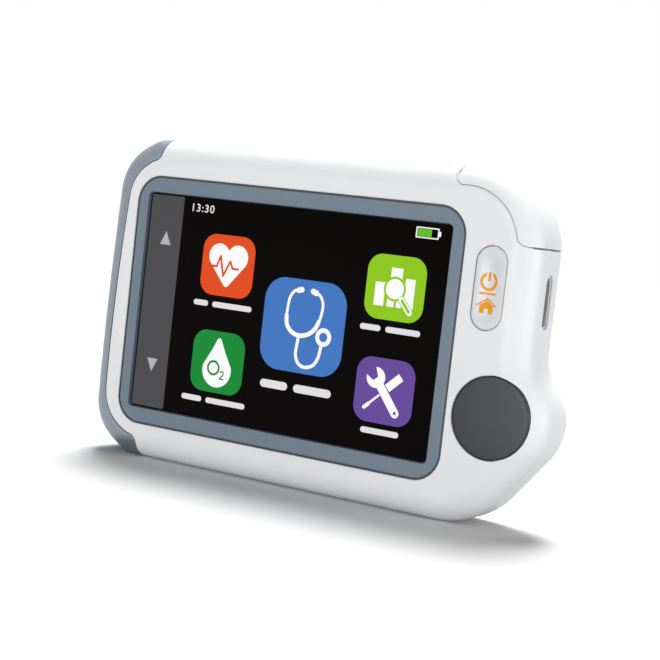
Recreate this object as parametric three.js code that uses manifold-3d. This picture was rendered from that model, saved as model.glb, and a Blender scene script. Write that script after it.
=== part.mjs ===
import * as THREE from "three";
import { mergeVertices } from "three/addons/utils/BufferGeometryUtils.js";
import Module from "manifold-3d";

// Handheld heart monitor, in millimetres. The device stands on its bottom edge:
// X runs across its front, -Y faces the user and Z is up, with the origin under
// the middle of the bottom edge, half way through its depth.

const wasm = await Module();
wasm.setup();

// Overall size
const bodyWidth = 88;
const bodyHeight = 56;
const bodyDepth = 13;

// Walls and clearances
const wall = 1.6;
const seamGap = 0.3;
const coverGap = 0.2;
const seatGap = 0.1;
const boreGap = 0.15;
const overrun = 2;
const repeatShare = 0.001;

// Outline of the body, seen from the front
const upperRightRadius = 12.5;
const gripInset = 4.3;
const bulgeRadius = 8.9;
const bulgeHeight = 17.2;
const waistRadius = 8;
const heelRadius = 12.5;
const heelAngle = THREE.MathUtils.degToRad(-38);
const leftCornerRadius = 9.5;
const leftBowRadius = 600;
const leftBowHeight = 18;

// Rounded edges: quarter ellipses, this far in from the side. The back one is this
// deep, and the front one leaves a flat land round the sides.
const frontRoundInset = 4.3;
const backRoundInset = 3.6;
const backRoundDepth = 4;
const sideLand = 4.6;

// Steps of the curves
const arcStep = THREE.MathUtils.degToRad(9);
const frontRoundSteps = 6;
const backRoundSteps = 4;
const roundFacets = 32;
const smallFacets = 12;
const tinyFacets = 6;

// Rear cover
const coverDepth = 2.6;

// Screen, its frame and what lies behind the glass
const bezelLeftMargin = 7.7;
const bezelRightMargin = 16.3;
const bezelTopMargin = 6.6;
const bezelBottomMargin = 6.2;
const bezelRadius = 4.6;
const bezelSetback = 0.05;
const bezelDepth = 1.1;
const bezelChamfer = 0.3;
const bezelSlope = 0.55;
const bezelLedge = 1.8;
const screenRimWall = 1.25;
const screenRimDepth = 1.2;
const bezelSideFace = 2.4;
const bezelEndFace = 2.9;
const glassRadius = 0.7;
const glassSetback = 0.6;
const glassThickness = 0.9;
const gasketBorder = 1.6;
const gasketThickness = 0.4;
const displayKeyMargin = 5.9;
const displayMargin = 0.3;
const displayThickness = 1.9;
const trayWall = 1;
const trayFloor = 0.8;

// Left electrode: the inner edge of the band, seen from the front
const bandWidth = 4.3;
const bandBowRadius = 330;
const bandTopRadius = 7.6;
const bandTopDrop = 11;
const bandBottomRadius = 8.5;
const bandBottomHeight = 12.2;
const bandTipRadius = 1.3;
const bandTopReach = 11.5;
const bandBottomReach = 12;
const bandThickness = 0.8;
const bandBedWall = 1.7;
const bandStudRadius = 1;
const bandStudHeight = 28;

// Home button: a pill that slides in, and the switch behind it
const buttonWidth = 5.3;
const buttonSideMargin = 11.3;
const buttonTopMargin = 11.9;
const buttonPlateMargin = 6.7;
const buttonSetback = 0.1;
const buttonDish = 0.35;
const buttonFlange = 0.5;
const buttonFlangeThickness = 0.5;
const buttonStemRadius = 1.2;
const buttonTravel = 0.35;
const switchSize = 4;
const switchDepth = 1.4;
const switchFloor = 0.35;
const plungerRadius = 0.8;

// Round electrode under the thumb and oval electrode on the back
const thumbPlateRadius = 6.5;
const thumbPlateSideMargin = 8.6;
const thumbPlateHeight = 17.8;
const thumbPlateThickness = 1.25;
const thumbPlateEdge = 0.3;
const thumbPlateCrown = 0.15;
const plateStudRadius = 1.8;
const plateStudLength = 1.3;
const backPlateWidth = 11;
const backPlateHeight = 19;
const backPlateSideMargin = 14.5;
const backPlateTopMargin = 19.5;
const backPlateThickness = 0.9;
const plateBedWall = 0.9;
const plateBedRim = 1.6;

// Sensor cover: the upper right corner, inside an S-shaped seam
const coverSeamRadius = 9.17;
const coverFilletRadius = 1.9;
const coverSeamLeft = 2.7;
const coverSeamRise = 0.7;
const sensorCoverWall = 1.4;
const hingeDrop = 1.15;
const hingeSetback = 2;
const hingePinRadius = 0.4;
const hingeKnuckleRadius = 1.15;
const hingeKnuckleWidth = 1.5;
const hingeTabFront = 3.5;
const hingeTabMargin = 1.3;
const hingeTabPlate = 0.35;
const hingePinReach = 0.8;
const springWire = 0.26;
const springRadius = 0.6;
const springTurns = 3;
const springSteps = 8;
const springSides = 5;

// Finger bay behind the sensor cover
const bayFloorRise = 2.7;
const bayFloorLeft = 1.7;
const bayFloorRight = 8.7;
const baySlopeLeft = 1.6;
const baySlopeRise = 9.1;
const bayWall = 1;
const padThickness = 0.7;
const basePadLength = 5;
const basePadInset = 0.7;
const windowBorder = 0.6;
const windowGap = 0.3;
const windowThickness = 0.6;
const windowSink = 0.15;
const coverPadFrom = THREE.MathUtils.degToRad(30);
const coverPadTo = THREE.MathUtils.degToRad(64);
const sensorBoardLength = 7;
const sensorBoardMargin = 1.1;
const sensorBoardThickness = 0.8;

// Connector in the right side wall
const slotLength = 8.4;
const slotWidth = 2.4;
const slotTopMargin = 19.8;
const shellThickness = 0.25;
const shellBack = 0.5;
const shellLength = 5.6;
const shellSetback = 0.35;
const tongueLength = 4;
const tongueThickness = 0.6;
const tongueMargin = 1;

// Main board and what it carries
const boardThickness = 0.8;
const boardLeftMargin = 11;
const boardRightMargin = 2.3;
const boardBottomMargin = 9.6;
const boardTopMargin = 13;
const shieldWidth = 13;
const shieldHeight = 17;
const shieldDepth = 1.6;
const shieldWall = 0.25;
const shieldSideMargin = 24.2;
const shieldTopMargin = 14;
const processorSize = 8;
const memorySize = 5;
const chipThickness = 0.8;
const chipSpacing = 0.9;
const batteryBoardMargin = 2;
const batteryShieldGap = 4;
const batteryTopMargin = 10.6;
const batteryBottomMargin = 13.4;
const batteryRadius = 1;
const batteryEdge = 0.5;
const foamInset = 3;
const foamThickness = 0.9;
const speakerRadius = 6;
const speakerDepth = 2.7;
const speakerLip = 0.675;
const speakerConeWidth = 0.675;
const speakerConeDepth = 0.34;
const speakerHeight = 15.5;
const speakerFacets = 16;
const grilleHoleRadius = 0.55;
const grillePitch = 2;
const grilleRings = 2;
const grilleRingHoles = 6;
const flexWidth = 14;
const flexThickness = 0.2;
const flexBend = 0.7;
const flexRun = 2.6;
const flexOffset = 3.7;
const contactThickness = 0.25;
const contactWidth = 2;
const contactFoot = 3;

// Screws and their posts
const postRadius = 1.9;
const screwHeadRadius = 1.4;
const screwHeadDepth = 0.7;
const screwSink = 0.15;
const screwShankRadius = 0.7;
const screwLength = 4.6;
const screwHeadEdge = 0.25;
const screwDrive = 0.45;
const screwDriveDepth = 0.4;
const screwSideMargin = 5.8;
const screwEndMargin = 11;
const screwHeelMargin = 12.5;
const screwHeelHeight = 7;
const screwHingeMargin = 4.5;
const screwTopMargin = 3.7;

// Path of a contact spring: how far it has come across, and its height, both as
// shares of the gap that it spans and of its foot
const contactShares = [
  [0, -1],
  [0, -0.33],
  [0.44, 0],
  [0.56, 0.17],
  [1, 0.5],
  [1, 1],
];

// The dish of the home button: the depth of each step, as a share of the dish's,
// and its inset, as a share of the button's half width
const dishShares = [
  [0, 0.2],
  [0.5, 0.4],
  [1, 0.8],
];

// Blank label plate on the back
const labelSideMargin = 13;
const labelSpeakerGap = 6.5;
const labelEndMargin = 17;
const labelRadius = 1.5;
const labelThickness = 0.25;
const labelSink = 0.1;

// Planes and places that follow from these sizes
const quarter = Math.PI / 2;
const left = -bodyWidth / 2;
const right = bodyWidth / 2;
const front = -bodyDepth / 2;
const back = bodyDepth / 2;
const frontRoundDepth = bodyDepth - sideLand - backRoundDepth;
const gripWall = right - gripInset;
const skinInside = front + wall;
const parting = back - coverDepth;
const coverFront = parting + coverGap;
const coverInside = back - wall;
const bezelWidth = bodyWidth - bezelLeftMargin - bezelRightMargin;
const bezelHeight = bodyHeight - bezelTopMargin - bezelBottomMargin;
const screenX = left + bezelLeftMargin + bezelWidth / 2;
const screenZ = bezelBottomMargin + bezelHeight / 2;
const glassWidth = bezelWidth - bezelSideFace * 2;
const glassHeight = bezelHeight - bezelEndFace * 2;
const displayWidth = glassWidth - displayKeyMargin - displayMargin;
const displayHeight = glassHeight - displayMargin * 2;
const displayX = screenX + (displayKeyMargin - displayMargin) / 2;
const ledgeFront = front + bezelSetback + bezelDepth + seatGap;
const rimBack = ledgeFront + screenRimDepth + seatGap;
const glassFront = front + glassSetback;
const glassBack = glassFront + glassThickness;
const gasketFront = glassBack + seatGap;
const displayFront = gasketFront + gasketThickness + seatGap;
const displayBack = displayFront + displayThickness;
const trayFront = rimBack + seatGap;
const trayInside = displayBack + seatGap;
const trayBack = trayInside + trayFloor;
const boardFront = trayBack + seatGap;
const boardBack = boardFront + boardThickness;
const partsFront = boardBack + seatGap;
const cornerX = gripWall - upperRightRadius;
const cornerZ = bodyHeight - upperRightRadius;
const seamX = cornerX - coverSeamLeft;
const seamZ = cornerZ + coverSeamRise;
const hingeX = seamX - hingeSetback;
const hingeZ = bodyHeight - hingeDrop;
const thumbPlateX = right - thumbPlateSideMargin;
const thumbPlateTop = thumbPlateHeight + thumbPlateRadius;
const buttonTop = bodyHeight - buttonTopMargin;
const buttonHeight = buttonTop - thumbPlateTop - buttonPlateMargin;
const buttonX = right - buttonSideMargin;
const flangeFront = skinInside + boreGap;
const flangeBack = flangeFront + buttonFlangeThickness;
const buttonZ = buttonTop - buttonHeight / 2;
const bandTopHeight = bodyHeight - bandTopDrop;
const backPlateX = right - backPlateSideMargin;
const backPlateZ = bodyHeight - backPlateTopMargin - backPlateHeight / 2;
const slotY = boardBack + slotWidth / 2;
const slotZ = bodyHeight - slotTopMargin;
const shieldX = gripWall - shieldSideMargin;
const shieldZ = bodyHeight - shieldTopMargin - shieldHeight / 2;
const boardLeft = left + boardLeftMargin;
const batteryLeft = boardLeft + batteryBoardMargin;
const batteryRight = shieldX - shieldWidth / 2 - batteryShieldGap;
const batteryWidth = batteryRight - batteryLeft;
const foamFront = coverInside - seatGap - foamThickness;
const batteryThickness = foamFront - seatGap - partsFront;
const batteryHeight = bodyHeight - batteryTopMargin - batteryBottomMargin;
const batteryX = batteryLeft + batteryWidth / 2;
const batteryZ = batteryBottomMargin + batteryHeight / 2;
const speakerX = shieldX;
const flexX = screenX - flexOffset;
const labelLeft = left + labelSideMargin;
const labelWidth = speakerX - speakerRadius - labelSpeakerGap - labelLeft;
const labelHeight = bodyHeight - labelEndMargin * 2;
const padDepth = [back - backRoundDepth - sideLand, back - backRoundDepth];
const padMiddle = (padDepth[0] + padDepth[1]) / 2;
const windowRadius = sideLand / 2 - windowBorder - windowGap;
const hingeTab = [front + hingeTabFront, parting - hingeTabMargin];

// Outlines. Each is a list of points (x, z) that runs anticlockwise.

function arc(x, z, radius, from, to) {
  const steps = Math.max(2, Math.ceil(Math.abs(to - from) / arcStep));
  return new THREE.EllipseCurve(x, z, radius, radius, from, to, to < from).getPoints(steps);
}

function point(x, z) {
  return new THREE.Vector2(x, z);
}

function withoutRepeats(points) {
  const least = wall * repeatShare;
  return points.filter((p, i) => p.distanceTo(points[(i + 1) % points.length]) > least);
}

// A circle of this radius inside the bowed left side, with its centre at height z.
function centreInsideBow(bowRadius, extreme, z, radius) {
  const bowX = extreme + bowRadius;
  return bowX - Math.sqrt((bowRadius - radius) ** 2 - (z - leftBowHeight) ** 2);
}

function bodyOutline() {
  const bulgeX = right - bulgeRadius;
  const waistX = gripWall + waistRadius;
  const reach = bulgeRadius + waistRadius;
  const waistZ = bulgeHeight + Math.sqrt(reach ** 2 - (waistX - bulgeX) ** 2);
  const waistAngle = Math.atan2(waistZ - bulgeHeight, waistX - bulgeX);
  const normal = point(Math.cos(heelAngle), Math.sin(heelAngle));
  const tangent = normal.dot(point(bulgeX, bulgeHeight)) + bulgeRadius - heelRadius;
  const heelX = (tangent - normal.y * heelRadius) / normal.x;
  const topZ = bodyHeight - leftCornerRadius;
  const topX = centreInsideBow(leftBowRadius, left, topZ, leftCornerRadius);
  const lowX = centreInsideBow(leftBowRadius, left, leftCornerRadius, leftCornerRadius);
  const bowX = left + leftBowRadius;
  const topAngle = Math.PI - Math.atan2(topZ - leftBowHeight, bowX - topX);
  const lowAngle = Math.PI + Math.atan2(leftBowHeight - leftCornerRadius, bowX - lowX);
  return withoutRepeats([
    ...arc(cornerX, cornerZ, upperRightRadius, 0, quarter),
    ...arc(topX, topZ, leftCornerRadius, quarter, topAngle),
    point(left, leftBowHeight),
    ...arc(lowX, leftCornerRadius, leftCornerRadius, lowAngle, 3 * quarter),
    ...arc(heelX, heelRadius, heelRadius, -quarter, heelAngle),
    ...arc(bulgeX, bulgeHeight, bulgeRadius, heelAngle, 0),
    ...arc(bulgeX, bulgeHeight, bulgeRadius, 0, waistAngle),
    ...arc(waistX, waistZ, waistRadius, Math.PI + waistAngle, Math.PI),
  ]);
}

// The seam of the sensor cover: the outline of everything on the cover's side.
// grow moves the seam outwards, away from the middle of the body.
function coverSide(grow) {
  const reach = coverSeamRadius + coverFilletRadius;
  const leftX = seamX + coverFilletRadius;
  const leftZ = cornerZ + Math.sqrt(reach ** 2 - (leftX - cornerX) ** 2);
  const lowZ = seamZ + coverFilletRadius;
  const lowX = cornerX + Math.sqrt(reach ** 2 - (lowZ - cornerZ) ** 2);
  const leftTurn = Math.atan2(leftZ - cornerZ, leftX - cornerX);
  const lowTurn = Math.atan2(lowZ - cornerZ, lowX - cornerX);
  const farX = right + overrun;
  const farZ = bodyHeight + overrun;
  return withoutRepeats([
    point(farX, farZ),
    point(seamX + grow, farZ),
    ...arc(leftX, leftZ, coverFilletRadius - grow, Math.PI, Math.PI + leftTurn),
    ...arc(cornerX, cornerZ, coverSeamRadius + grow, leftTurn, lowTurn),
    ...arc(lowX, lowZ, coverFilletRadius - grow, Math.PI + lowTurn, 3 * quarter),
    point(farX, seamZ + grow),
  ]);
}

// The left electrode's side of its inner edge. grow widens it.
function bandSide(grow) {
  const edge = left + bandWidth;
  const topX = centreInsideBow(bandBowRadius, edge, bandTopHeight, bandTopRadius);
  const lowX = centreInsideBow(bandBowRadius, edge, bandBottomHeight, bandBottomRadius);
  const topTipX = left + bandTopReach - bandTipRadius;
  const lowTipX = left + bandBottomReach - bandTipRadius;
  const topReach = bandTopRadius + bandTipRadius;
  const lowReach = bandBottomRadius + bandTipRadius;
  const topTipZ = bandTopHeight + Math.sqrt(topReach ** 2 - (topTipX - topX) ** 2);
  const lowTipZ = bandBottomHeight - Math.sqrt(lowReach ** 2 - (lowTipX - lowX) ** 2);
  const topTurn = Math.atan2(topTipZ - bandTopHeight, topTipX - topX);
  const lowTurn = Math.atan2(lowTipZ - bandBottomHeight, lowTipX - lowX) + 4 * quarter;
  const farX = left - overrun;
  return withoutRepeats([
    point(farX, bodyHeight + overrun),
    point(farX, -overrun),
    point(lowTipX + bandTipRadius + grow, -overrun),
    ...arc(lowTipX, lowTipZ, bandTipRadius + grow, 0, lowTurn - Math.PI),
    ...arc(lowX, bandBottomHeight, bandBottomRadius - grow, lowTurn, Math.PI),
    point(edge + grow, leftBowHeight),
    ...arc(topX, bandTopHeight, bandTopRadius - grow, Math.PI, topTurn),
    ...arc(topTipX, topTipZ, bandTipRadius + grow, topTurn - Math.PI, 0),
    point(topTipX + bandTipRadius + grow, bodyHeight + overrun),
  ]);
}

function roundedRectangle(x, z, width, height, radius) {
  const dx = width / 2 - radius;
  const dz = height / 2 - radius;
  return withoutRepeats([
    ...arc(x + dx, z + dz, radius, 0, quarter),
    ...arc(x - dx, z + dz, radius, quarter, 2 * quarter),
    ...arc(x - dx, z - dz, radius, 2 * quarter, 3 * quarter),
    ...arc(x + dx, z - dz, radius, 3 * quarter, 4 * quarter),
  ]);
}

function pill(x, z, width, height) {
  return roundedRectangle(x, z, width, height, Math.min(width, height) / 2);
}

// Solids

function solid(geometry) {
  geometry.deleteAttribute("normal");
  geometry.deleteAttribute("uv");
  const merged = mergeVertices(geometry);
  const mesh = new wasm.Mesh({
    numProp: 3,
    vertProperties: new Float32Array(merged.attributes.position.array),
    triVerts: new Uint32Array(merged.index.array),
  });
  return new wasm.Manifold(mesh);
}

function geometryOf(shape) {
  const mesh = shape.getMesh();
  const geometry = new THREE.BufferGeometry();
  geometry.setAttribute("position", new THREE.BufferAttribute(mesh.vertProperties, 3));
  geometry.setIndex(new THREE.BufferAttribute(mesh.triVerts, 1));
  geometry.computeVertexNormals();
  return geometry;
}

// A straight prism of an outline, from one depth to another.
function prism(points, from, to) {
  const geometry = new THREE.ExtrudeGeometry(new THREE.Shape(points), {
    depth: to - from,
    bevelEnabled: false,
  });
  geometry.rotateX(quarter);
  geometry.translate(0, to, 0);
  return solid(geometry);
}

// A solid through rings of an outline. Each ring is a depth and an inset.
function loft(points, rings) {
  const count = points.length;
  const normals = points.map((p, i) => {
    const before = points[(i + count - 1) % count];
    const after = points[(i + 1) % count];
    const first = p.clone().sub(before).normalize();
    const second = after.clone().sub(p).normalize();
    const middle = first.clone().add(second).normalize();
    return point(middle.y, -middle.x).divideScalar(middle.dot(first));
  });
  const positions = [];
  for (const [depth, inset] of rings) {
    points.forEach((p, i) => {
      positions.push(p.x - normals[i].x * inset, depth, p.y - normals[i].y * inset);
    });
  }
  const faces = [];
  for (let ring = 0; ring < rings.length - 1; ring += 1) {
    for (let i = 0; i < count; i += 1) {
      const here = ring * count + i;
      const next = ring * count + ((i + 1) % count);
      faces.push(here, here + count, next + count, here, next + count, next);
    }
  }
  const last = (rings.length - 1) * count;
  for (const [a, b, c] of THREE.ShapeUtils.triangulateShape(points, [])) {
    faces.push(a, b, c, last + c, last + b, last + a);
  }
  const geometry = new THREE.BufferGeometry();
  geometry.setAttribute("position", new THREE.Float32BufferAttribute(positions, 3));
  geometry.setIndex(faces);
  return solid(geometry);
}

// The outer form of the device, shrunk by an offset on every side.
function casing(offset) {
  const rings = [];
  for (let step = 0; step <= frontRoundSteps; step += 1) {
    const angle = (quarter * step) / frontRoundSteps;
    rings.push([
      front + offset + (frontRoundDepth - offset) * (1 - Math.cos(angle)),
      offset + (frontRoundInset - offset) * (1 - Math.sin(angle)),
    ]);
  }
  for (let step = backRoundSteps; step >= 0; step -= 1) {
    const angle = (quarter * step) / backRoundSteps;
    rings.push([
      back - offset - (backRoundDepth - offset) * (1 - Math.cos(angle)),
      offset + (backRoundInset - offset) * (1 - Math.sin(angle)),
    ]);
  }
  return loft(bodyOutline(), rings);
}

function box(x, y, z) {
  const geometry = new THREE.BoxGeometry(x[1] - x[0], y[1] - y[0], z[1] - z[0]);
  geometry.translate((x[0] + x[1]) / 2, (y[0] + y[1]) / 2, (z[0] + z[1]) / 2);
  return solid(geometry);
}

function around(centre, size) {
  return [centre - size / 2, centre + size / 2];
}

// A round bar along Y, from one depth to another.
function bar(x, z, radius, from, to, facets = smallFacets) {
  const geometry = new THREE.CylinderGeometry(radius, radius, to - from, facets);
  geometry.translate(x, (from + to) / 2, z);
  return solid(geometry);
}

function turned(x, z, profile, facets = roundFacets) {
  const outline = profile.map(([radius, depth]) => point(radius, depth));
  const geometry = new THREE.LatheGeometry(outline, facets);
  geometry.translate(x, 0, z);
  return solid(geometry);
}

function joined(pieces) {
  return pieces.reduce((whole, piece) => whole.add(piece));
}

function without(whole, pieces) {
  return pieces.reduce((rest, piece) => rest.subtract(piece), whole);
}

const behindFront = [front - overrun, parting];
const wholeDepth = [front - overrun, back + overrun];
const wholeX = [left - overrun, right + overrun];
const wholeZ = [-overrun, bodyHeight + overrun];
const outer = casing(0);
const inner = casing(wall);
const screwPlaces = [
  [left + screwSideMargin, screwEndMargin],
  [left + screwSideMargin, bodyHeight - screwEndMargin],
  [right - screwHeelMargin, screwHeelHeight],
  [hingeX - screwHingeMargin, bodyHeight - screwTopMargin],
];

// Casing

// Finger bay, as the outline of its clear space. grow makes it larger all round.
function bayOutline(grow) {
  const floorZ = cornerZ + bayFloorRise - grow;
  const slope = Math.atan2(baySlopeRise - bayFloorRise, bayFloorLeft + baySlopeLeft);
  const lean = grow * Math.tan(slope / 2);
  const slopeTopX = cornerX - baySlopeLeft - grow;
  const slopeTopZ = cornerZ + baySlopeRise - lean;
  return [
    point(right + overrun, bodyHeight + overrun),
    point(slopeTopX, bodyHeight + overrun),
    point(slopeTopX, slopeTopZ),
    point(cornerX + bayFloorLeft - lean, floorZ),
    point(cornerX + bayFloorRight, floorZ),
    point(gripWall - coverFilletRadius, seamZ - grow),
    point(right + overrun, seamZ - grow),
  ];
}

function hingeNotch() {
  const low = hingeZ - hingeKnuckleRadius - seamGap;
  return box(
    [hingeX - hingeKnuckleRadius - seamGap, seamX + seamGap + overrun],
    [hingeTab[0] - seamGap, hingeTab[1] + seamGap],
    [low, bodyHeight + overrun],
  );
}

function hingeBoss() {
  const side = [hingeX - hingeKnuckleRadius - seamGap - bayWall, seamX];
  const height = [hingeZ - hingeKnuckleRadius - seamGap - bayWall, bodyHeight + overrun];
  return box(side, [front - overrun, parting], height).intersect(outer);
}

function screwHole(x, z) {
  const end = back - screwSink - screwHeadDepth - screwLength - boreGap;
  return bar(x, z, screwShankRadius + boreGap, end, back + overrun);
}

function frontHousing() {
  const depth = [skinInside - seatGap, parting];
  const rimPocket = roundedRectangle(
    screenX,
    screenZ,
    bezelWidth + seamGap * 2,
    bezelHeight + seamGap * 2,
    bezelRadius + seamGap,
  );
  const opening = roundedRectangle(
    screenX,
    screenZ,
    bezelWidth - bezelLedge * 2,
    bezelHeight - bezelLedge * 2,
    bezelRadius - bezelLedge,
  );
  const rim = roundedRectangle(
    screenX,
    screenZ,
    bezelWidth + screenRimWall * 2,
    bezelHeight + screenRimWall * 2,
    bezelRadius + screenRimWall,
  );
  const bed = left + bandWidth - bandBedWall;
  const hollow = inner.intersect(box([bed, right], wholeDepth, wholeZ));
  const shell = outer.subtract(hollow).intersect(box(wholeX, behindFront, wholeZ));
  const posts = screwPlaces.map(([x, z]) => bar(x, z, postRadius, ...depth));
  const bayWalls = prism(bayOutline(bayWall), ...depth).intersect(outer);
  const plateBed = bar(
    thumbPlateX,
    thumbPlateHeight,
    thumbPlateRadius + plateBedRim,
    skinInside - seatGap,
    front + thumbPlateThickness + plateBedWall,
    roundFacets,
  ).intersect(outer);
  const body = joined([
    shell,
    ...posts,
    bayWalls,
    plateBed,
    prism(rim, skinInside - seatGap, rimBack),
    hingeBoss(),
  ]);
  const pocketFloor = front + thumbPlateThickness + seatGap;
  const cuts = [
    prism(rimPocket, front - overrun, ledgeFront),
    prism(opening, front - overrun, rimBack + overrun),
    prism(buttonOutline(seamGap), ...behindFront),
    prism(buttonOutline(seamGap + buttonFlange + boreGap), skinInside, flangeBack + buttonTravel),
    bar(
      thumbPlateX,
      thumbPlateHeight,
      thumbPlateRadius + seamGap,
      front - overrun,
      pocketFloor,
      roundFacets,
    ),
    bar(thumbPlateX, thumbPlateHeight, plateStudRadius + boreGap, ...behindFront),
    prism(bandSide(seamGap), ...wholeDepth).subtract(casing(bandThickness + coverGap)),
    bandStud(boreGap),
    prism(bayOutline(0), skinInside, parting + overrun),
    prism(coverSide(0), ...wholeDepth),
    hingeNotch(),
    hingePinBar(boreGap, parting + overrun),
    connectorSlot(),
    ...screwPlaces.map(([x, z]) => screwHole(x, z)),
  ];
  return largest(without(body, cuts));
}

// The one solid that matters where a cut leaves loose crumbs beside it.
function largest(shape) {
  const pieces = shape.decompose();
  return pieces.reduce((best, piece) => (piece.volume() > best.volume() ? piece : best));
}

function backPlatePrism(grow, from, to) {
  const width = backPlateWidth + grow * 2;
  const height = backPlateHeight + grow * 2;
  return prism(pill(backPlateX, backPlateZ, width, height), from, to);
}

function grilleHoles() {
  const holes = [];
  for (let ring = 0; ring <= grilleRings; ring += 1) {
    const count = Math.max(1, ring * grilleRingHoles);
    for (let i = 0; i < count; i += 1) {
      const angle = (i / count) * Math.PI * 2;
      const x = speakerX + Math.cos(angle) * ring * grillePitch;
      const z = speakerHeight + Math.sin(angle) * ring * grillePitch;
      holes.push(bar(x, z, grilleHoleRadius, parting, back + overrun, tinyFacets));
    }
  }
  return holes;
}

function rearCover() {
  const behindSeam = [coverFront, back + overrun];
  const shell = outer.subtract(inner).intersect(box(wholeX, behindSeam, wholeZ));
  const bossEnd = coverInside + seatGap;
  const bosses = screwPlaces.map(([x, z]) => bar(x, z, postRadius, coverFront, bossEnd));
  const bed = back - backPlateThickness - plateBedWall;
  const plateBed = backPlatePrism(plateBedRim, bed, coverInside + seatGap);
  const headFloor = back - screwSink - screwHeadDepth - seatGap;
  const headRadius = screwHeadRadius + boreGap;
  const cuts = [
    backPlatePrism(seamGap, back - backPlateThickness - seatGap, back + overrun),
    bar(backPlateX, backPlateZ, plateStudRadius + boreGap, parting, back),
    prism(labelOutline(boreGap), back - labelSink - labelThickness - seatGap, back + overrun),
    ...grilleHoles(),
    ...screwPlaces.map(([x, z]) => screwHole(x, z)),
    ...screwPlaces.map(([x, z]) => bar(x, z, headRadius, headFloor, back + overrun)),
  ];
  return largest(without(joined([shell, ...bosses, plateBed]), cuts));
}

// Screen

function bezelRing() {
  const ringFront = front + bezelSetback;
  const outline = roundedRectangle(screenX, screenZ, bezelWidth, bezelHeight, bezelRadius);
  const opening = roundedRectangle(
    screenX,
    screenZ,
    glassWidth + seatGap * 2,
    glassHeight + seatGap * 2,
    glassRadius + seatGap,
  );
  const ring = loft(outline, [
    [ringFront, bezelChamfer],
    [ringFront + bezelChamfer, 0],
    [ringFront + bezelDepth, 0],
  ]);
  const slope = bezelSlope / (glassFront - ringFront);
  const hole = loft(opening, [
    [ringFront - overrun, -bezelSlope - slope * overrun],
    [glassFront, 0],
    [ringFront + bezelDepth + overrun, 0],
  ]);
  return ring.subtract(hole);
}

function touchGlass() {
  const outline = roundedRectangle(screenX, screenZ, glassWidth, glassHeight, glassRadius);
  return prism(outline, glassFront, glassBack);
}

function displayGasket() {
  const depth = [gasketFront, gasketFront + gasketThickness];
  const side = around(displayX, displayWidth);
  const height = around(screenZ, displayHeight);
  const frame = box(side, depth, height);
  const hole = box(
    [side[0] + gasketBorder, side[1] - gasketBorder],
    [depth[0] - overrun, depth[1] + overrun],
    [height[0] + gasketBorder, height[1] - gasketBorder],
  );
  return frame.subtract(hole);
}

function displayModule() {
  return box(
    around(displayX, displayWidth),
    [displayFront, displayBack],
    around(screenZ, displayHeight),
  );
}

function flexLowest() {
  return screenZ - displayHeight / 2 - seatGap - flexBend * 2;
}

function flexSlot(grow) {
  return box(
    around(flexX, flexWidth + grow * 2),
    [trayFront - overrun, trayBack + overrun],
    [flexLowest() - grow, flexLowest() + flexBend * 2],
  );
}

function displayTray() {
  const width = bezelWidth - seatGap * 2;
  const height = bezelHeight - seatGap * 2;
  const radius = bezelRadius - seatGap;
  const plate = roundedRectangle(screenX, screenZ, width, height, radius);
  const well = roundedRectangle(
    screenX,
    screenZ,
    width - trayWall * 2,
    height - trayWall * 2,
    radius - trayWall,
  );
  return prism(plate, trayFront, trayBack)
    .subtract(prism(well, trayFront - overrun, trayInside))
    .subtract(flexSlot(seamGap));
}

// A flat ribbon along a bent path (y, z), as wide as the stretch x.
function ribbon(path, thickness, x) {
  const outline = [];
  const offsets = [thickness / 2, -thickness / 2];
  offsets.forEach((offset, side) => {
    const run = path.map((p, i) => {
      const before = path[Math.max(0, i - 1)];
      const after = path[Math.min(path.length - 1, i + 1)];
      const along = after.clone().sub(before).normalize();
      return point(p.x - along.y * offset, p.y + along.x * offset);
    });
    outline.push(...(side === 0 ? run : run.reverse()));
  });
  const geometry = new THREE.ExtrudeGeometry(new THREE.Shape(outline), {
    depth: x[1] - x[0],
    bevelEnabled: false,
  });
  geometry.rotateY(quarter);
  geometry.rotateX(quarter);
  geometry.translate(x[0], 0, 0);
  return solid(geometry);
}

function displayFlex() {
  const startY = (displayFront + displayBack) / 2;
  const endY = partsFront + flexThickness / 2;
  const bendZ = flexLowest() + flexThickness / 2 + flexBend;
  const path = [
    point(startY, screenZ - displayHeight / 2 - seatGap),
    ...arc(startY + flexBend, bendZ, flexBend, Math.PI, 3 * quarter),
    ...arc(endY - flexBend, bendZ, flexBend, 3 * quarter, 4 * quarter),
    point(endY, bendZ + flexRun),
  ];
  return ribbon(path, flexThickness, around(flexX, flexWidth));
}

// Left electrode

function bandStud(grow) {
  const start = left + bandThickness / 2;
  const end = left + bandWidth + grow * 2;
  const radius = bandStudRadius + grow;
  const geometry = new THREE.CylinderGeometry(radius, radius, end - start, smallFacets);
  geometry.rotateZ(quarter);
  geometry.translate((start + end) / 2, 0, bandStudHeight);
  return solid(geometry);
}

function leftElectrode() {
  const skin = outer.subtract(casing(bandThickness));
  const band = prism(bandSide(0), front - overrun, parting);
  return largest(skin.intersect(band)).add(bandStud(0));
}

// Home button and switch

function buttonOutline(grow) {
  return pill(buttonX, buttonZ, buttonWidth + grow * 2, buttonHeight + grow * 2);
}

function homeButton() {
  const face = front + buttonSetback;
  const cap = prism(buttonOutline(0), face, flangeFront + seatGap);
  const rim = buttonOutline(seamGap + buttonFlange);
  const half = Math.min(buttonWidth, buttonHeight) / 2;
  const dishRings = dishShares.map(([deep, wide]) => [face + buttonDish * deep, half * wide]);
  const rimRing = [face - seatGap, half * dishShares[0][1] - seatGap];
  const dish = loft(buttonOutline(0), [rimRing, ...dishRings]);
  const stem = bar(buttonX, buttonZ, buttonStemRadius, flangeBack - seatGap, stemEnd());
  return joined([cap.subtract(dish), prism(rim, flangeFront, flangeBack), stem]);
}

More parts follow.
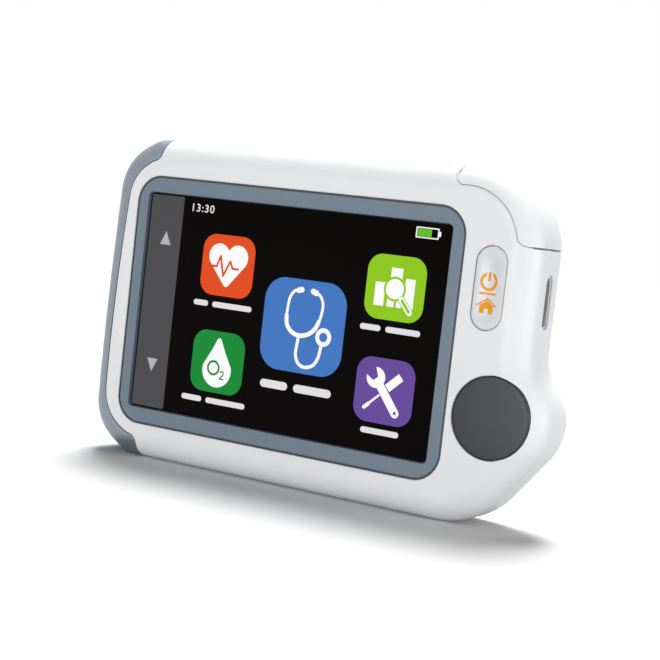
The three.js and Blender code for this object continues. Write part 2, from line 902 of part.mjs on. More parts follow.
function switchFront() {
  return boardFront - seatGap - switchDepth;
}

function stemEnd() {
  return switchFront() - buttonTravel - seatGap * 2;
}

function homeSwitch() {
  const depth = [switchFront(), boardFront - seatGap];
  const block = box(around(buttonX, switchSize), depth, around(buttonZ, switchSize));
  const wellFloor = depth[1] - switchFloor;
  const well = bar(buttonX, buttonZ, plungerRadius + boreGap, depth[0] - overrun, wellFloor);
  return block.subtract(well);
}

function switchPlunger() {
  const start = stemEnd() + seatGap;
  const end = boardFront - seatGap - switchFloor - buttonTravel - seatGap;
  return bar(buttonX, buttonZ, plungerRadius, start, end);
}

// Electrodes of the right hand

function rightElectrode() {
  const rear = front + thumbPlateThickness;
  const flat = thumbPlateRadius - thumbPlateEdge;
  const crown = (radius) => [radius, front + thumbPlateCrown * (radius / flat) ** 2];
  return turned(thumbPlateX, thumbPlateHeight, [
    crown(0),
    crown(flat / 2),
    crown(flat),
    [thumbPlateRadius, front + thumbPlateCrown + thumbPlateEdge],
    [thumbPlateRadius, rear],
    [plateStudRadius, rear],
    [plateStudRadius, rear + plateStudLength],
    [0, rear + plateStudLength],
  ]);
}

function backElectrode() {
  const rear = back - backPlateThickness;
  const plate = backPlatePrism(0, rear, back);
  const stud = bar(
    backPlateX,
    backPlateZ,
    plateStudRadius,
    rear - plateStudLength,
    rear + seatGap,
  );
  return plate.add(stud);
}

// Contact springs: a foot on the board, a riser and a leaf on the electrode's stud.

function zSpring(fromY, toY, x, z) {
  const path = contactShares.map(([across, up]) => {
    return point(fromY + (toY - fromY) * across, z + contactFoot * up);
  });
  return ribbon(path, contactThickness, around(x, contactWidth));
}

function rightContact() {
  const studEnd = front + thumbPlateThickness + plateStudLength;
  const fromY = studEnd + seatGap + contactThickness / 2;
  const toY = boardFront - seatGap - contactThickness / 2;
  return zSpring(fromY, toY, thumbPlateX, thumbPlateHeight);
}

function backContact() {
  const studEnd = back - backPlateThickness - plateStudLength;
  const fromY = studEnd - seatGap - contactThickness / 2;
  const toY = partsFront + contactThickness / 2;
  return zSpring(fromY, toY, backPlateX, backPlateZ);
}

function leftContact() {
  const leafX = left + bandWidth + boreGap + seatGap;
  const foot = box(
    [leafX, boardLeft + contactFoot / 2],
    [partsFront, partsFront + contactThickness],
    around(bandStudHeight, contactWidth),
  );
  const leaf = box(
    [leafX, leafX + contactThickness],
    [-bandStudRadius, partsFront + contactThickness],
    around(bandStudHeight, contactWidth),
  );
  return foot.add(leaf);
}

// Sensor cover, its hinge and what lies under it

function hingePinBar(grow, to) {
  const start = hingeTab[0] - seamGap - hingePinReach - grow;
  return bar(hingeX, hingeZ, hingePinRadius + grow, start, to);
}

function sensorCover() {
  const skin = outer.subtract(casing(sensorCoverWall));
  const corner = prism(coverSide(seamGap), front - overrun, parting);
  const shell = largest(skin.intersect(corner));
  const sleeve = bar(hingeX, hingeZ, hingeKnuckleRadius, ...hingeTab);
  const plate = box(
    [hingeX, seamX + seamGap + sensorCoverWall],
    hingeTab,
    [bodyHeight - hingeTabPlate, bodyHeight],
  );
  const arms = box([hingeX, seamX + seamGap + bayWall], hingeTab, [hingeZ, bodyHeight]);
  const room = box(
    [hingeX - hingeKnuckleRadius - overrun, seamX + seamGap + sensorCoverWall],
    [hingeTab[0] + hingeKnuckleWidth, hingeTab[1] - hingeKnuckleWidth],
    [hingeZ - hingeKnuckleRadius - overrun, bodyHeight - hingeTabPlate],
  );
  const hinge = joined([sleeve, arms]).subtract(room).add(plate);
  return joined([shell, hinge])
    .intersect(outer)
    .subtract(bar(hingeX, hingeZ, hingePinRadius + boreGap, ...wholeDepth));
}

// One unbroken wire: its turns round the hinge pin.
class SpringWire extends THREE.Curve {
  getPoint(t, target = new THREE.Vector3()) {
    const start = hingeTab[0] + hingeKnuckleWidth + springWire;
    const end = hingeTab[1] - hingeKnuckleWidth - springWire;
    const angle = t * springTurns * Math.PI * 2 - quarter;
    return target.set(
      hingeX + Math.cos(angle) * springRadius,
      start + (end - start) * t,
      hingeZ + Math.sin(angle) * springRadius,
    );
  }
}

function sensorCoverSpring() {
  const geometry = new THREE.ExtrudeGeometry(circle(springWire / 2, springSides), {
    steps: springTurns * springSteps,
    bevelEnabled: false,
    extrudePath: new SpringWire(),
  });
  return solid(geometry);
}

function circle(radius, facets) {
  const points = [];
  for (let i = 0; i < facets; i += 1) {
    const angle = (i / facets) * Math.PI * 2;
    points.push(point(Math.cos(angle) * radius, Math.sin(angle) * radius));
  }
  return new THREE.Shape(points);
}

function coverPad() {
  const outside = upperRightRadius - sensorCoverWall - seatGap;
  const inside = outside - padThickness;
  const outline = [
    ...arc(cornerX, cornerZ, outside, coverPadFrom, coverPadTo),
    ...arc(cornerX, cornerZ, inside, coverPadTo, coverPadFrom),
  ];
  return prism(outline, ...padDepth).subtract(emitterBar(windowRadius + windowGap, overrun));
}

// A round bar that points from the bay's corner to the middle of the cover's pad.
function emitterBar(radius, over) {
  const outside = upperRightRadius - sensorCoverWall - seatGap * 2 - windowSink;
  const middle = (coverPadFrom + coverPadTo) / 2;
  const length = windowThickness + over * 2;
  const geometry = new THREE.CylinderGeometry(radius, radius, length, smallFacets);
  geometry.translate(0, outside - windowThickness / 2, 0);
  geometry.rotateX(quarter);
  geometry.rotateY(quarter - middle);
  geometry.translate(cornerX, padMiddle, cornerZ);
  return solid(geometry);
}

function basePadX() {
  return cornerX + bayFloorLeft + basePadInset + basePadLength / 2;
}

function floorBar(radius, from, to) {
  const geometry = new THREE.CylinderGeometry(radius, radius, to - from, smallFacets);
  geometry.rotateX(quarter);
  geometry.translate(basePadX(), padMiddle, (from + to) / 2);
  return solid(geometry);
}

function bayFloorTop() {
  return cornerZ + bayFloorRise;
}

function basePad() {
  const low = bayFloorTop() + seatGap;
  const high = low + padThickness;
  const pad = box(around(basePadX(), basePadLength), padDepth, [low, high]);
  return pad.subtract(floorBar(windowRadius + windowGap, low - overrun, high + overrun));
}

function detectorWindow() {
  const low = bayFloorTop() + seatGap;
  return floorBar(windowRadius, low, low + windowThickness);
}

function sensorBoard() {
  const high = bayFloorTop() - bayWall - seatGap;
  return box(
    around(basePadX(), sensorBoardLength),
    [partsFront, coverInside - sensorBoardMargin],
    [high - sensorBoardThickness, high],
  );
}

// Connector

// A prism of an outline (y, z) that runs along X.
function sidePrism(points, from, to) {
  const geometry = new THREE.ExtrudeGeometry(new THREE.Shape(points), {
    depth: to - from,
    bevelEnabled: false,
  });
  geometry.rotateY(quarter);
  geometry.rotateX(quarter);
  geometry.translate(from, 0, 0);
  return solid(geometry);
}

function slotOutline(shrink) {
  return pill(slotY, slotZ, slotWidth - shrink * 2, slotLength - shrink * 2);
}

function connectorSlot() {
  return sidePrism(slotOutline(0), gripWall - wall - overrun, right + overrun);
}

function connectorShell() {
  const end = gripWall - shellSetback;
  const start = end - shellLength;
  const hollow = sidePrism(slotOutline(seatGap + shellThickness), start + shellBack, end + overrun);
  return sidePrism(slotOutline(seatGap), start, end).subtract(hollow);
}

function connectorTongue() {
  const start = gripWall - shellSetback - shellLength + shellBack + seatGap;
  return box(
    [start, start + tongueLength],
    around(slotY, tongueThickness),
    around(slotZ, slotLength - (seatGap + shellThickness + tongueMargin) * 2),
  );
}

// Inside

function mainBoard() {
  return box(
    [boardLeft, gripWall - boardRightMargin],
    [boardFront, boardBack],
    [boardBottomMargin, bodyHeight - boardTopMargin],
  );
}

function shieldCan() {
  const can = box(
    around(shieldX, shieldWidth),
    [partsFront, partsFront + shieldDepth],
    around(shieldZ, shieldHeight),
  );
  const inside = box(
    around(shieldX, shieldWidth - shieldWall * 2),
    [partsFront - overrun, partsFront + shieldDepth - shieldWall],
    around(shieldZ, shieldHeight - shieldWall * 2),
  );
  return can.subtract(inside);
}

// A chip under the shield: towards its upper end where side is 1, its lower at -1.
function chip(size, side) {
  const z = shieldZ + side * (shieldHeight / 2 - shieldWall - chipSpacing - size / 2);
  return box(around(shieldX, size), [partsFront, partsFront + chipThickness], around(z, size));
}

function battery() {
  const outline = roundedRectangle(
    batteryX,
    batteryZ,
    batteryWidth,
    batteryHeight,
    batteryRadius,
  );
  const rear = partsFront + batteryThickness;
  return loft(outline, [
    [partsFront, batteryEdge],
    [partsFront + batteryEdge, 0],
    [rear - batteryEdge, 0],
    [rear, batteryEdge],
  ]);
}

function batteryFoam() {
  return box(
    around(batteryX, batteryWidth - foamInset * 2),
    [foamFront, foamFront + foamThickness],
    around(batteryZ, batteryHeight - foamInset * 2),
  );
}

function speaker() {
  const rear = coverInside - seatGap;
  const start = rear - speakerDepth;
  const frame = speakerRadius - speakerLip;
  return turned(speakerX, speakerHeight, [
    [0, start],
    [frame, start],
    [frame, start + speakerLip],
    [speakerRadius, start + speakerLip],
    [speakerRadius, rear],
    [frame, rear],
    [frame - speakerConeWidth, rear - speakerConeDepth],
    [0, rear - speakerConeDepth],
  ], speakerFacets);
}

function labelOutline(grow) {
  return roundedRectangle(
    labelLeft + labelWidth / 2,
    labelEndMargin + labelHeight / 2,
    labelWidth + grow * 2,
    labelHeight + grow * 2,
    labelRadius + grow,
  );
}

function labelPlate() {
  return prism(labelOutline(0), back - labelSink - labelThickness, back - labelSink);
}

// A screw about its own axis, with its head at Y = 0 and its shank towards -Y.
function coverScrew() {
  const head = turned(0, 0, [
    [0, -screwHeadDepth - screwLength],
    [screwShankRadius, -screwHeadDepth - screwLength],
    [screwShankRadius, -screwHeadDepth],
    [screwHeadRadius, -screwHeadDepth],
    [screwHeadRadius, -screwHeadEdge],
    [screwHeadRadius - screwHeadEdge, 0],
    [0, 0],
  ], smallFacets);
  const depth = [-screwDriveDepth, overrun];
  const long = around(0, screwHeadRadius);
  const narrow = around(0, screwDrive);
  return head.subtract(box(long, depth, narrow)).subtract(box(narrow, depth, long));
}

// Finishes

function finish(color, roughness, metalness = 0) {
  return new THREE.MeshStandardMaterial({ color, roughness, metalness });
}

const whitePlastic = finish(0xe3e5e6, 0.3);
const bandSteel = finish(0x8b959c, 0.35, 0.8);
const plateSteel = finish(0x4a4e50, 0.4, 0.6);
const bezelPaint = finish(0x74838f, 0.45, 0.1);
const blackGlass = finish(0x050505, 0.05);
const displayMetal = finish(0x30343a, 0.4, 0.5);
const darkFoam = finish(0x1b1b1d, 0.9);
const trayPlastic = finish(0x2a2c30, 0.6);
const boardGreen = finish(0x1f5a3a, 0.5);
const flexAmber = finish(0xb87a2c, 0.5);
const tinPlate = finish(0xb9bcc0, 0.3, 0.9);
const chipBlack = finish(0x17181a, 0.5);
const cellFoil = finish(0x9aa3ad, 0.4, 0.5);
const goldSpring = finish(0xc9a24b, 0.3, 0.9);
const springSteel = finish(0xa9adb2, 0.3, 0.9);
const padSilicone = finish(0x3a3c40, 0.8);
const windowRed = finish(0x4a1214, 0.1);
const labelSilver = finish(0xc3c7ca, 0.5, 0.3);
const screwBlack = finish(0x3c3f43, 0.4, 0.8);

// Assembly

const monitor = new THREE.Group();

function place(name, shape, material, position = [0, 0, 0]) {
  const mesh = new THREE.Mesh(geometryOf(shape), material);
  mesh.name = name;
  mesh.position.set(...position);
  monitor.add(mesh);
  return mesh;
}

place("front_housing", frontHousing(), whitePlastic);
place("rear_cover", rearCover(), whitePlastic);
place("left_electrode", leftElectrode(), bandSteel);
place("bezel_ring", bezelRing(), bezelPaint);
place("touch_glass", touchGlass(), blackGlass);
place("display_gasket", displayGasket(), darkFoam);
place("display_module", displayModule(), displayMetal);
place("display_tray", displayTray(), trayPlastic);
place("display_flex", displayFlex(), flexAmber);
place("home_button", homeButton(), whitePlastic);
place("switch_plunger", switchPlunger(), chipBlack);
place("home_switch", homeSwitch(), chipBlack);
place("right_electrode", rightElectrode(), plateSteel);
place("back_electrode", backElectrode(), plateSteel);
place("left_contact", leftContact(), goldSpring);
place("right_contact", rightContact(), goldSpring);
place("back_contact", backContact(), goldSpring);
place("sensor_cover", sensorCover(), whitePlastic);
place("cover_hinge_pin", hingePinBar(0, parting - seatGap), springSteel);
place("cover_spring", sensorCoverSpring(), springSteel);
place("cover_pad", coverPad(), padSilicone);
place("emitter_window", emitterBar(windowRadius, 0), windowRed);
place("base_pad", basePad(), padSilicone);
place("detector_window", detectorWindow(), windowRed);
place("sensor_board", sensorBoard(), boardGreen);
place("connector_shell", connectorShell(), tinPlate);
place("connector_tongue", connectorTongue(), chipBlack);
place("main_board", mainBoard(), boardGreen);
place("shield_can", shieldCan(), tinPlate);
place("processor_chip", chip(processorSize, 1), chipBlack);
place("memory_chip", chip(memorySize, -1), chipBlack);
place("battery", battery(), cellFoil);
place("battery_foam", batteryFoam(), darkFoam);
place("speaker", speaker(), chipBlack);
place("label_plate", labelPlate(), labelSilver);
screwPlaces.forEach(([x, z], i) => {
  place(`cover_screw_${i + 1}`, coverScrew(), screwBlack, [x, back - screwSink, z]);
});

export default monitor;
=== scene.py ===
from math import atan2, ceil, cos, dist, hypot, pi, radians, sin, sqrt, tan, tau

import bpy
from mathutils import Matrix, Vector
from mathutils.kdtree import KDTree


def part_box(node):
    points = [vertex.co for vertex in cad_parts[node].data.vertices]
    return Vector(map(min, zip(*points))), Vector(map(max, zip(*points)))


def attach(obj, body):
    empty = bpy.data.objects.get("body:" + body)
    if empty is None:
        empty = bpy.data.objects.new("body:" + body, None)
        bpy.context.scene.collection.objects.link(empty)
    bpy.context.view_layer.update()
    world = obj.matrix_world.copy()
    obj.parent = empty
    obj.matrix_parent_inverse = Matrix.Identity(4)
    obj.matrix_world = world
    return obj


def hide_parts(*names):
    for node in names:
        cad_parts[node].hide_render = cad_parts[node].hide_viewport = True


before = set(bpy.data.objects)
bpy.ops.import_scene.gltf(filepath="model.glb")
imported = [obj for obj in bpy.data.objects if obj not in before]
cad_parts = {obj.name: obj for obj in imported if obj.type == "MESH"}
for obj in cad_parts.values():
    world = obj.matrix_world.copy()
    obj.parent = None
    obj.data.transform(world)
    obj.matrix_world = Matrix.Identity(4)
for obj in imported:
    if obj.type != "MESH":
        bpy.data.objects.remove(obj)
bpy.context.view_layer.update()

# Handheld heart monitor. Sizes are in millimetres in the model's own frame: X across
# the front, -Y towards the user, Z up. MM turns them into metres.

MM = 0.001
QUARTER = pi / 2

# Body, its outline and its rounded edges
BODY_WIDTH = 88
BODY_HEIGHT = 56
BODY_DEPTH = 13
WALL = 1.6
SEAM_GAP = 0.3
COVER_GAP = 0.2
SEAT_GAP = 0.1
BORE_GAP = 0.15
OVERRUN = 2
SNUG = 0.01
UPPER_RIGHT_RADIUS = 12.5
GRIP_INSET = 4.3
BULGE_RADIUS = 8.9
BULGE_HEIGHT = 17.2
WAIST_RADIUS = 8
HEEL_RADIUS = 12.5
HEEL_ANGLE = radians(-38)
LEFT_CORNER_RADIUS = 9.5
LEFT_BOW_RADIUS = 600
LEFT_BOW_HEIGHT = 18
FRONT_ROUND_INSET = 4.3
FRONT_ROUND_DEPTH = 4.4
BACK_ROUND_INSET = 3.6
BACK_ROUND_DEPTH = 4
COVER_DEPTH = 2.6
PARTING_CHAMFER = 0.12
EDGE_CHAMFER = 0.12

# The rounder front edge at the left: its radius, the insets of its first rings, where it
# ends, the steps along the outline that carry it, and where it fades out
LEFT_EDGE_RADIUS = 6
LEFT_EDGE_SHARES = (1.04, 0.93, 0.82)
LEFT_END = 14
LEFT_SPACING = 0.2
LEFT_MOST_STEPS = 100
LEFT_INNER_FADE = 0.4
LEFT_SIDE_FADE = 0.5

LEFT = -BODY_WIDTH / 2
RIGHT = BODY_WIDTH / 2
FRONT = -BODY_DEPTH / 2
BACK = BODY_DEPTH / 2
OVER_TOP = BODY_HEIGHT + OVERRUN
GRIP_WALL = RIGHT - GRIP_INSET
SKIN_INSIDE = FRONT + WALL
PARTING = BACK - COVER_DEPTH
COVER_FRONT = PARTING + COVER_GAP
COVER_INSIDE = BACK - WALL
CORNER_X = GRIP_WALL - UPPER_RIGHT_RADIUS
CORNER_Z = BODY_HEIGHT - UPPER_RIGHT_RADIUS

# Screen
SCREEN_X = -4.3
SCREEN_Z = 27.8
BEZEL_WIDTH = 64
BEZEL_HEIGHT = 43.2
BEZEL_RADIUS = 4.6
BEZEL_FRONT = FRONT + 0.05
BEZEL_DEPTH = 1.1
BEZEL_CHAMFER = 0.3
BEZEL_SLOPE = 0.12
BEZEL_SEAM = 0.14
BEZEL_TRIM = 0.12
BEZEL_LEDGE = 1.8
GLASS_WIDTH = 59.2
GLASS_HEIGHT = 37.4
GLASS_RADIUS = 0.7
GLASS_FRONT = FRONT + 0.6
LEDGE_FRONT = BEZEL_FRONT + BEZEL_DEPTH + SEAT_GAP
RIM_BACK = LEDGE_FRONT + 1.3
RIM_WALL = 1.25
# Sink and edge of the dark cord that paints the bezel seam's shadow
SHADE_CORD_SINK = 0.1
SHADE_CORD_EDGE = 0.02

# Left electrode
BAND_WIDTH = 4.3
BAND_BOW_RADIUS = 330
BAND_TOP_RADIUS = 7.6
BAND_TOP_HEIGHT = 45
BAND_BOTTOM_RADIUS = 8.5
BAND_BOTTOM_HEIGHT = 12.2
BAND_TIP_RADIUS = 1.3
BAND_TOP_REACH = 11.5
BAND_BOTTOM_REACH = 12
BAND_THICKNESS = 0.8
BAND_BED_WALL = 1.7
BAND_SEAM = 0.14
BAND_CHAMFER = 0.16
BAND_STUD_Z = 28
BAND_STUD_RADIUS = 1

# Home key
KEY_X = 32.7
KEY_Z = 37.55
KEY_WIDTH = 5.3
KEY_HEIGHT = 13.1
KEY_FRONT = FRONT + 0.1
KEY_DISH = 0.3
KEY_DISH_WIDTH = 2.1
KEY_DISH_MARGIN = 0.08
KEY_EDGE = 0.22
KEY_TRAVEL = 0.35
KEY_FLANGE_REACH = 0.8
KEY_FLANGE_ROOM = 0.95
KEY_FLANGE_FRONT = SKIN_INSIDE + BORE_GAP
KEY_FLANGE_BACK = KEY_FLANGE_FRONT + 0.5
KEY_STEM_RADIUS = 1.2
KEY_STEM_END = -3.55
KEY_SEAM = 0.03
KEY_TRIM = 0.07

# Electrodes of the right hand, the round one in front and the oval one at the back
PLATE_X = 35.4
PLATE_Z = 17.8
PLATE_RADIUS = 6.5
PLATE_THICKNESS = 1.25
PLATE_CROWN = 0.15
PLATE_EDGE = 0.3
PLATE_SEAM = 0.08
BED_WALL = 1.6
BED_FLOOR = 0.9
STUD_RADIUS = 1.8
STUD_LENGTH = 1.3
BACK_PLATE_X = 29.5
BACK_PLATE_Z = 27
BACK_PLATE_WIDTH = 11
BACK_PLATE_HEIGHT = 19
BACK_PLATE_THICKNESS = 0.9
BACK_PLATE_EDGE = 0.25
BACK_PLATE_SEAM = 0.2

# Sensor cover, its hinge and the finger bay
SEAM_X = CORNER_X - 2.7
SEAM_Z = CORNER_Z + 0.7
COVER_SEAM_RADIUS = 9.17
COVER_SEAM = 0.1
SEAM_CHAMFER = 0.13
COVER_FILLET = 1.9
COVER_WALL = 1.4
HINGE_X = 22.5
HINGE_Z = 54.85
KNUCKLE_RADIUS = 1.15
KNUCKLE_WIDTH = 1.5
HINGE_PIN_RADIUS = 0.4
HINGE_PIN_REACH = 0.8
HINGE_TAB = (FRONT + 3.5, PARTING - 1.3)
TAB_PLATE = 0.35
SWING_GAP = 0.05
SWING_ANGLES = (8, 15, 22, 30)
SWING_HEIGHT = 2
SPRING_RADIUS = 0.6
SPRING_WIRE = 0.26
SPRING_TURNS = 3
SPRING_STEPS = 48
SPRING_SIDES = 16
PAD_THICKNESS = 0.7
PAD_DEPTH = (-2.1, 2.5)
PAD_FROM = radians(30)
PAD_TO = radians(64)
PAD_EDGE = 0.15
WINDOW_RADIUS = 1.4
WINDOW_GAP = 0.3
FOAM_PRESS = 0.12
FOAM_CORNER = 0.6
FOAM_BORDER = 1.2
BAY_WALL = 1
BAY_FLOOR_RISE = 2.7
BAY_FLOOR_START = 1.7
BAY_FLOOR_END = 8.7
BAY_SLOPE_RISE = 9.1
BAY_SLOPE_START = 1.6

# Connector slot
SLOT_Y = 0.5
SLOT_Z = 36.2
SLOT_WIDTH = 2.4
SLOT_LENGTH = 8.4
CONTACTS = 8
CONTACT_ENDS = (1.2, 0.3)
CONTACT_SKIN = 0.03
CONTACT_SHARE = 0.27

# Back: label, speaker grille and screws
LABEL_X = -14
LABEL_Z = 28
LABEL_WIDTH = 34
LABEL_HEIGHT = 22
LABEL_RADIUS = 1.5
LABEL_SINK = 0.1
LABEL_THICKNESS = 0.25
SPEAKER_X = 15.5
SPEAKER_Z = 15.5
GRILLE_RADIUS = 0.55
GRILLE_PITCH = 2
GRILLE_RINGS = 3
GRILLE_FACETS = 24
SCREWS = ((-38.2, 11), (-38.2, 45), (31.5, 7), (18, 52.3))
SCREW_HEAD_RADIUS = 1.4
SCREW_HEAD_DEPTH = 0.7
SCREW_SINK = 0.15
SCREW_EDGE = 0.2
SCREW_SHANK = 0.7
SCREW_LENGTH = 4.6
SCREW_TIP = 0.4
SCREW_TIP_SHARE = 0.6
CROSS_DEPTH = 0.4
CROSS_REACH = 0.7
CROSS_HALF_WIDTH = 0.22
POST_RADIUS = 1.9

# Steps of the curves, and limits
BEZEL_STEPS = 5
KEY_STEPS = 6
DISH_STEPS = 12
CROWN_STEPS = 10
PLATE_STEPS = 5
BACK_PLATE_STEPS = 6
SCREW_STEPS = 4
ARC_STEP = radians(2)
ROUND_STEPS = 20
DISC_FACETS = 128
BAR_FACETS = 48
SMOOTH_ANGLE = radians(28)
BEVEL_ANGLE = radians(40)
SAME_PLACE = WALL / 1000


# ---------------------------------------------------------------- outlines (x, z)

def arc(x, z, radius, start, end, step=ARC_STEP):
    steps = max(2, ceil(abs(end - start) / step))
    angles = [start + (end - start) * i / steps for i in range(steps + 1)]
    return [(x + radius * cos(a), z + radius * sin(a)) for a in angles]


def disc(x, z, radius, facets=BAR_FACETS):
    return arc(x, z, radius, 0, tau, tau / facets)[:-1]


def without_repeats(points):
    after = points[1:] + points[:1]
    return [p for p, q in zip(points, after) if dist(p, q) > SAME_PLACE]


def centre_inside_bow(bow_radius, extreme, z, radius):
    reach = sqrt((bow_radius - radius) ** 2 - (z - LEFT_BOW_HEIGHT) ** 2)
    return extreme + bow_radius - reach


def body_outline():
    bulge_x = RIGHT - BULGE_RADIUS
    waist_x = GRIP_WALL + WAIST_RADIUS
    reach = BULGE_RADIUS + WAIST_RADIUS
    waist_z = BULGE_HEIGHT + sqrt(reach ** 2 - (waist_x - bulge_x) ** 2)
    waist_angle = atan2(waist_z - BULGE_HEIGHT, waist_x - bulge_x)
    nx, nz = cos(HEEL_ANGLE), sin(HEEL_ANGLE)
    tangent = nx * bulge_x + nz * BULGE_HEIGHT + BULGE_RADIUS - HEEL_RADIUS
    heel_x = (tangent - nz * HEEL_RADIUS) / nx
    radius = LEFT_CORNER_RADIUS
    top_z = BODY_HEIGHT - radius
    top_x = centre_inside_bow(LEFT_BOW_RADIUS, LEFT, top_z, radius)
    low_x = centre_inside_bow(LEFT_BOW_RADIUS, LEFT, radius, radius)
    bow_x = LEFT + LEFT_BOW_RADIUS
    top_turn = pi - atan2(top_z - LEFT_BOW_HEIGHT, bow_x - top_x)
    low_turn = pi + atan2(LEFT_BOW_HEIGHT - radius, bow_x - low_x)
    return without_repeats([
        *arc(CORNER_X, CORNER_Z, UPPER_RIGHT_RADIUS, 0, QUARTER),
        *arc(top_x, top_z, radius, QUARTER, top_turn),
        *arc(bow_x, LEFT_BOW_HEIGHT, LEFT_BOW_RADIUS, top_turn, low_turn, ARC_STEP / 6),
        *arc(low_x, radius, radius, low_turn, 3 * QUARTER),
        *arc(heel_x, HEEL_RADIUS, HEEL_RADIUS, -QUARTER, HEEL_ANGLE),
        *arc(bulge_x, BULGE_HEIGHT, BULGE_RADIUS, HEEL_ANGLE, waist_angle),
        *arc(waist_x, waist_z, WAIST_RADIUS, pi + waist_angle, pi),
    ])


def cover_seam(grow):
    """The S-shaped seam of the sensor cover, from above the top to past the right side."""
    reach = COVER_SEAM_RADIUS + COVER_FILLET
    left_x = SEAM_X + COVER_FILLET
    left_z = CORNER_Z + sqrt(reach ** 2 - (left_x - CORNER_X) ** 2)
    low_z = SEAM_Z + COVER_FILLET
    low_x = CORNER_X + sqrt(reach ** 2 - (low_z - CORNER_Z) ** 2)
    left_turn = atan2(left_z - CORNER_Z, left_x - CORNER_X)
    low_turn = atan2(low_z - CORNER_Z, low_x - CORNER_X)
    fillet = COVER_FILLET - grow
    return [
        (SEAM_X + grow, OVER_TOP),
        *arc(left_x, left_z, fillet, pi, pi + left_turn),
        *arc(CORNER_X, CORNER_Z, COVER_SEAM_RADIUS + grow, left_turn, low_turn),
        *arc(low_x, low_z, fillet, pi + low_turn, 3 * QUARTER),
        (RIGHT + OVERRUN, SEAM_Z + grow),
    ]


def cover_side(grow):
    return without_repeats([(RIGHT + OVERRUN, OVER_TOP), *cover_seam(grow)])


def band_seam(grow):
    """The inner edge of the left electrode, from below the bottom to above the top."""
    edge = LEFT + BAND_WIDTH
    top_x = centre_inside_bow(BAND_BOW_RADIUS, edge, BAND_TOP_HEIGHT, BAND_TOP_RADIUS)
    low_x = centre_inside_bow(BAND_BOW_RADIUS, edge, BAND_BOTTOM_HEIGHT, BAND_BOTTOM_RADIUS)
    top_tip = LEFT + BAND_TOP_REACH - BAND_TIP_RADIUS
    low_tip = LEFT + BAND_BOTTOM_REACH - BAND_TIP_RADIUS
    top_reach = BAND_TOP_RADIUS + BAND_TIP_RADIUS
    low_reach = BAND_BOTTOM_RADIUS + BAND_TIP_RADIUS
    top_z = BAND_TOP_HEIGHT + sqrt(top_reach ** 2 - (top_tip - top_x) ** 2)
    low_z = BAND_BOTTOM_HEIGHT - sqrt(low_reach ** 2 - (low_tip - low_x) ** 2)
    top_turn = atan2(top_z - BAND_TOP_HEIGHT, top_tip - top_x)
    low_turn = atan2(low_z - BAND_BOTTOM_HEIGHT, low_tip - low_x) + 2 * pi
    tip = BAND_TIP_RADIUS + grow
    bow_x = edge + BAND_BOW_RADIUS
    top_bow = pi - atan2(BAND_TOP_HEIGHT - LEFT_BOW_HEIGHT, bow_x - top_x)
    low_bow = pi + atan2(LEFT_BOW_HEIGHT - BAND_BOTTOM_HEIGHT, bow_x - low_x)
    return [
        (low_tip + tip, -OVERRUN),
        *arc(low_tip, low_z, tip, 0, low_turn - pi),
        *arc(low_x, BAND_BOTTOM_HEIGHT, BAND_BOTTOM_RADIUS - grow, low_turn, low_bow),
        *arc(bow_x, LEFT_BOW_HEIGHT, BAND_BOW_RADIUS - grow, low_bow, top_bow, ARC_STEP / 6),
        *arc(top_x, BAND_TOP_HEIGHT, BAND_TOP_RADIUS - grow, top_bow, top_turn),
        *arc(top_tip, top_z, tip, top_turn - pi, 0),
        (top_tip + tip, OVER_TOP),
    ]


def band_side(grow):
    far = LEFT - OVERRUN
    return without_repeats([(far, OVER_TOP), (far, -OVERRUN), *band_seam(grow)])


def rounded_rectangle(x, z, width, height, radius, step=ARC_STEP * 3):
    dx, dz = width / 2 - radius, height / 2 - radius
    corners = ((dx, dz), (-dx, dz), (-dx, -dz), (dx, -dz))
    points = []
    for turn, (cx, cz) in enumerate(corners):
        points += arc(x + cx, z + cz, radius, turn * QUARTER, (turn + 1) * QUARTER, step)
    return without_repeats(points)


def pill(x, z, width, height):
    return rounded_rectangle(x, z, width, height, min(width, height) / 2, ARC_STEP * 2)


def bezel_outline(grow):
    width, height = BEZEL_WIDTH + grow * 2, BEZEL_HEIGHT + grow * 2
    return rounded_rectangle(SCREEN_X, SCREEN_Z, width, height, BEZEL_RADIUS + grow)


def key_outline(grow):
    return pill(KEY_X, KEY_Z, KEY_WIDTH + grow * 2, KEY_HEIGHT + grow * 2)


def back_plate_outline(grow):
    return pill(BACK_PLATE_X, BACK_PLATE_Z, BACK_PLATE_WIDTH + grow * 2, BACK_PLATE_HEIGHT + grow * 2)


def bay_outline(grow):
    """The finger bay: its floor, and a slope up to its left wall. It is open above and at the right."""
    top_x = CORNER_X - BAY_SLOPE_START - grow
    floor_z = CORNER_Z + BAY_FLOOR_RISE - grow
    slope = atan2(BAY_SLOPE_RISE - BAY_FLOOR_RISE, BAY_FLOOR_START + BAY_SLOPE_START)
    lean = grow * tan(slope / 2)
    return [
        (RIGHT + OVERRUN, SEAM_Z - grow),
        (RIGHT + OVERRUN, OVER_TOP),
        (top_x, OVER_TOP),
        (top_x, CORNER_Z + BAY_SLOPE_RISE - lean),
        (CORNER_X + BAY_FLOOR_START - lean, floor_z),
        (CORNER_X + BAY_FLOOR_END, floor_z),
        (GRIP_WALL - COVER_FILLET, SEAM_Z - grow),
    ]


# ---------------------------------------------------------------- solids

def placed(name, data):
    obj = bpy.data.objects.new(name, data)
    bpy.context.scene.collection.objects.link(obj)
    return obj


def mesh_object(name, vertices, faces):
    mesh = bpy.data.meshes.new(name)
    mesh.from_pydata(vertices, [], faces)
    mesh.update()
    return placed(name, mesh)


def rounded(face, deep, wide, steps, inset=0.0):
    """Rings of a rounded edge, from a face to the side. On a rear face its depth is negative."""
    angles = [QUARTER * step / steps for step in range(steps + 1)]
    return [(face + deep * (1 - cos(a)), inset + wide * (1 - sin(a))) for a in angles]


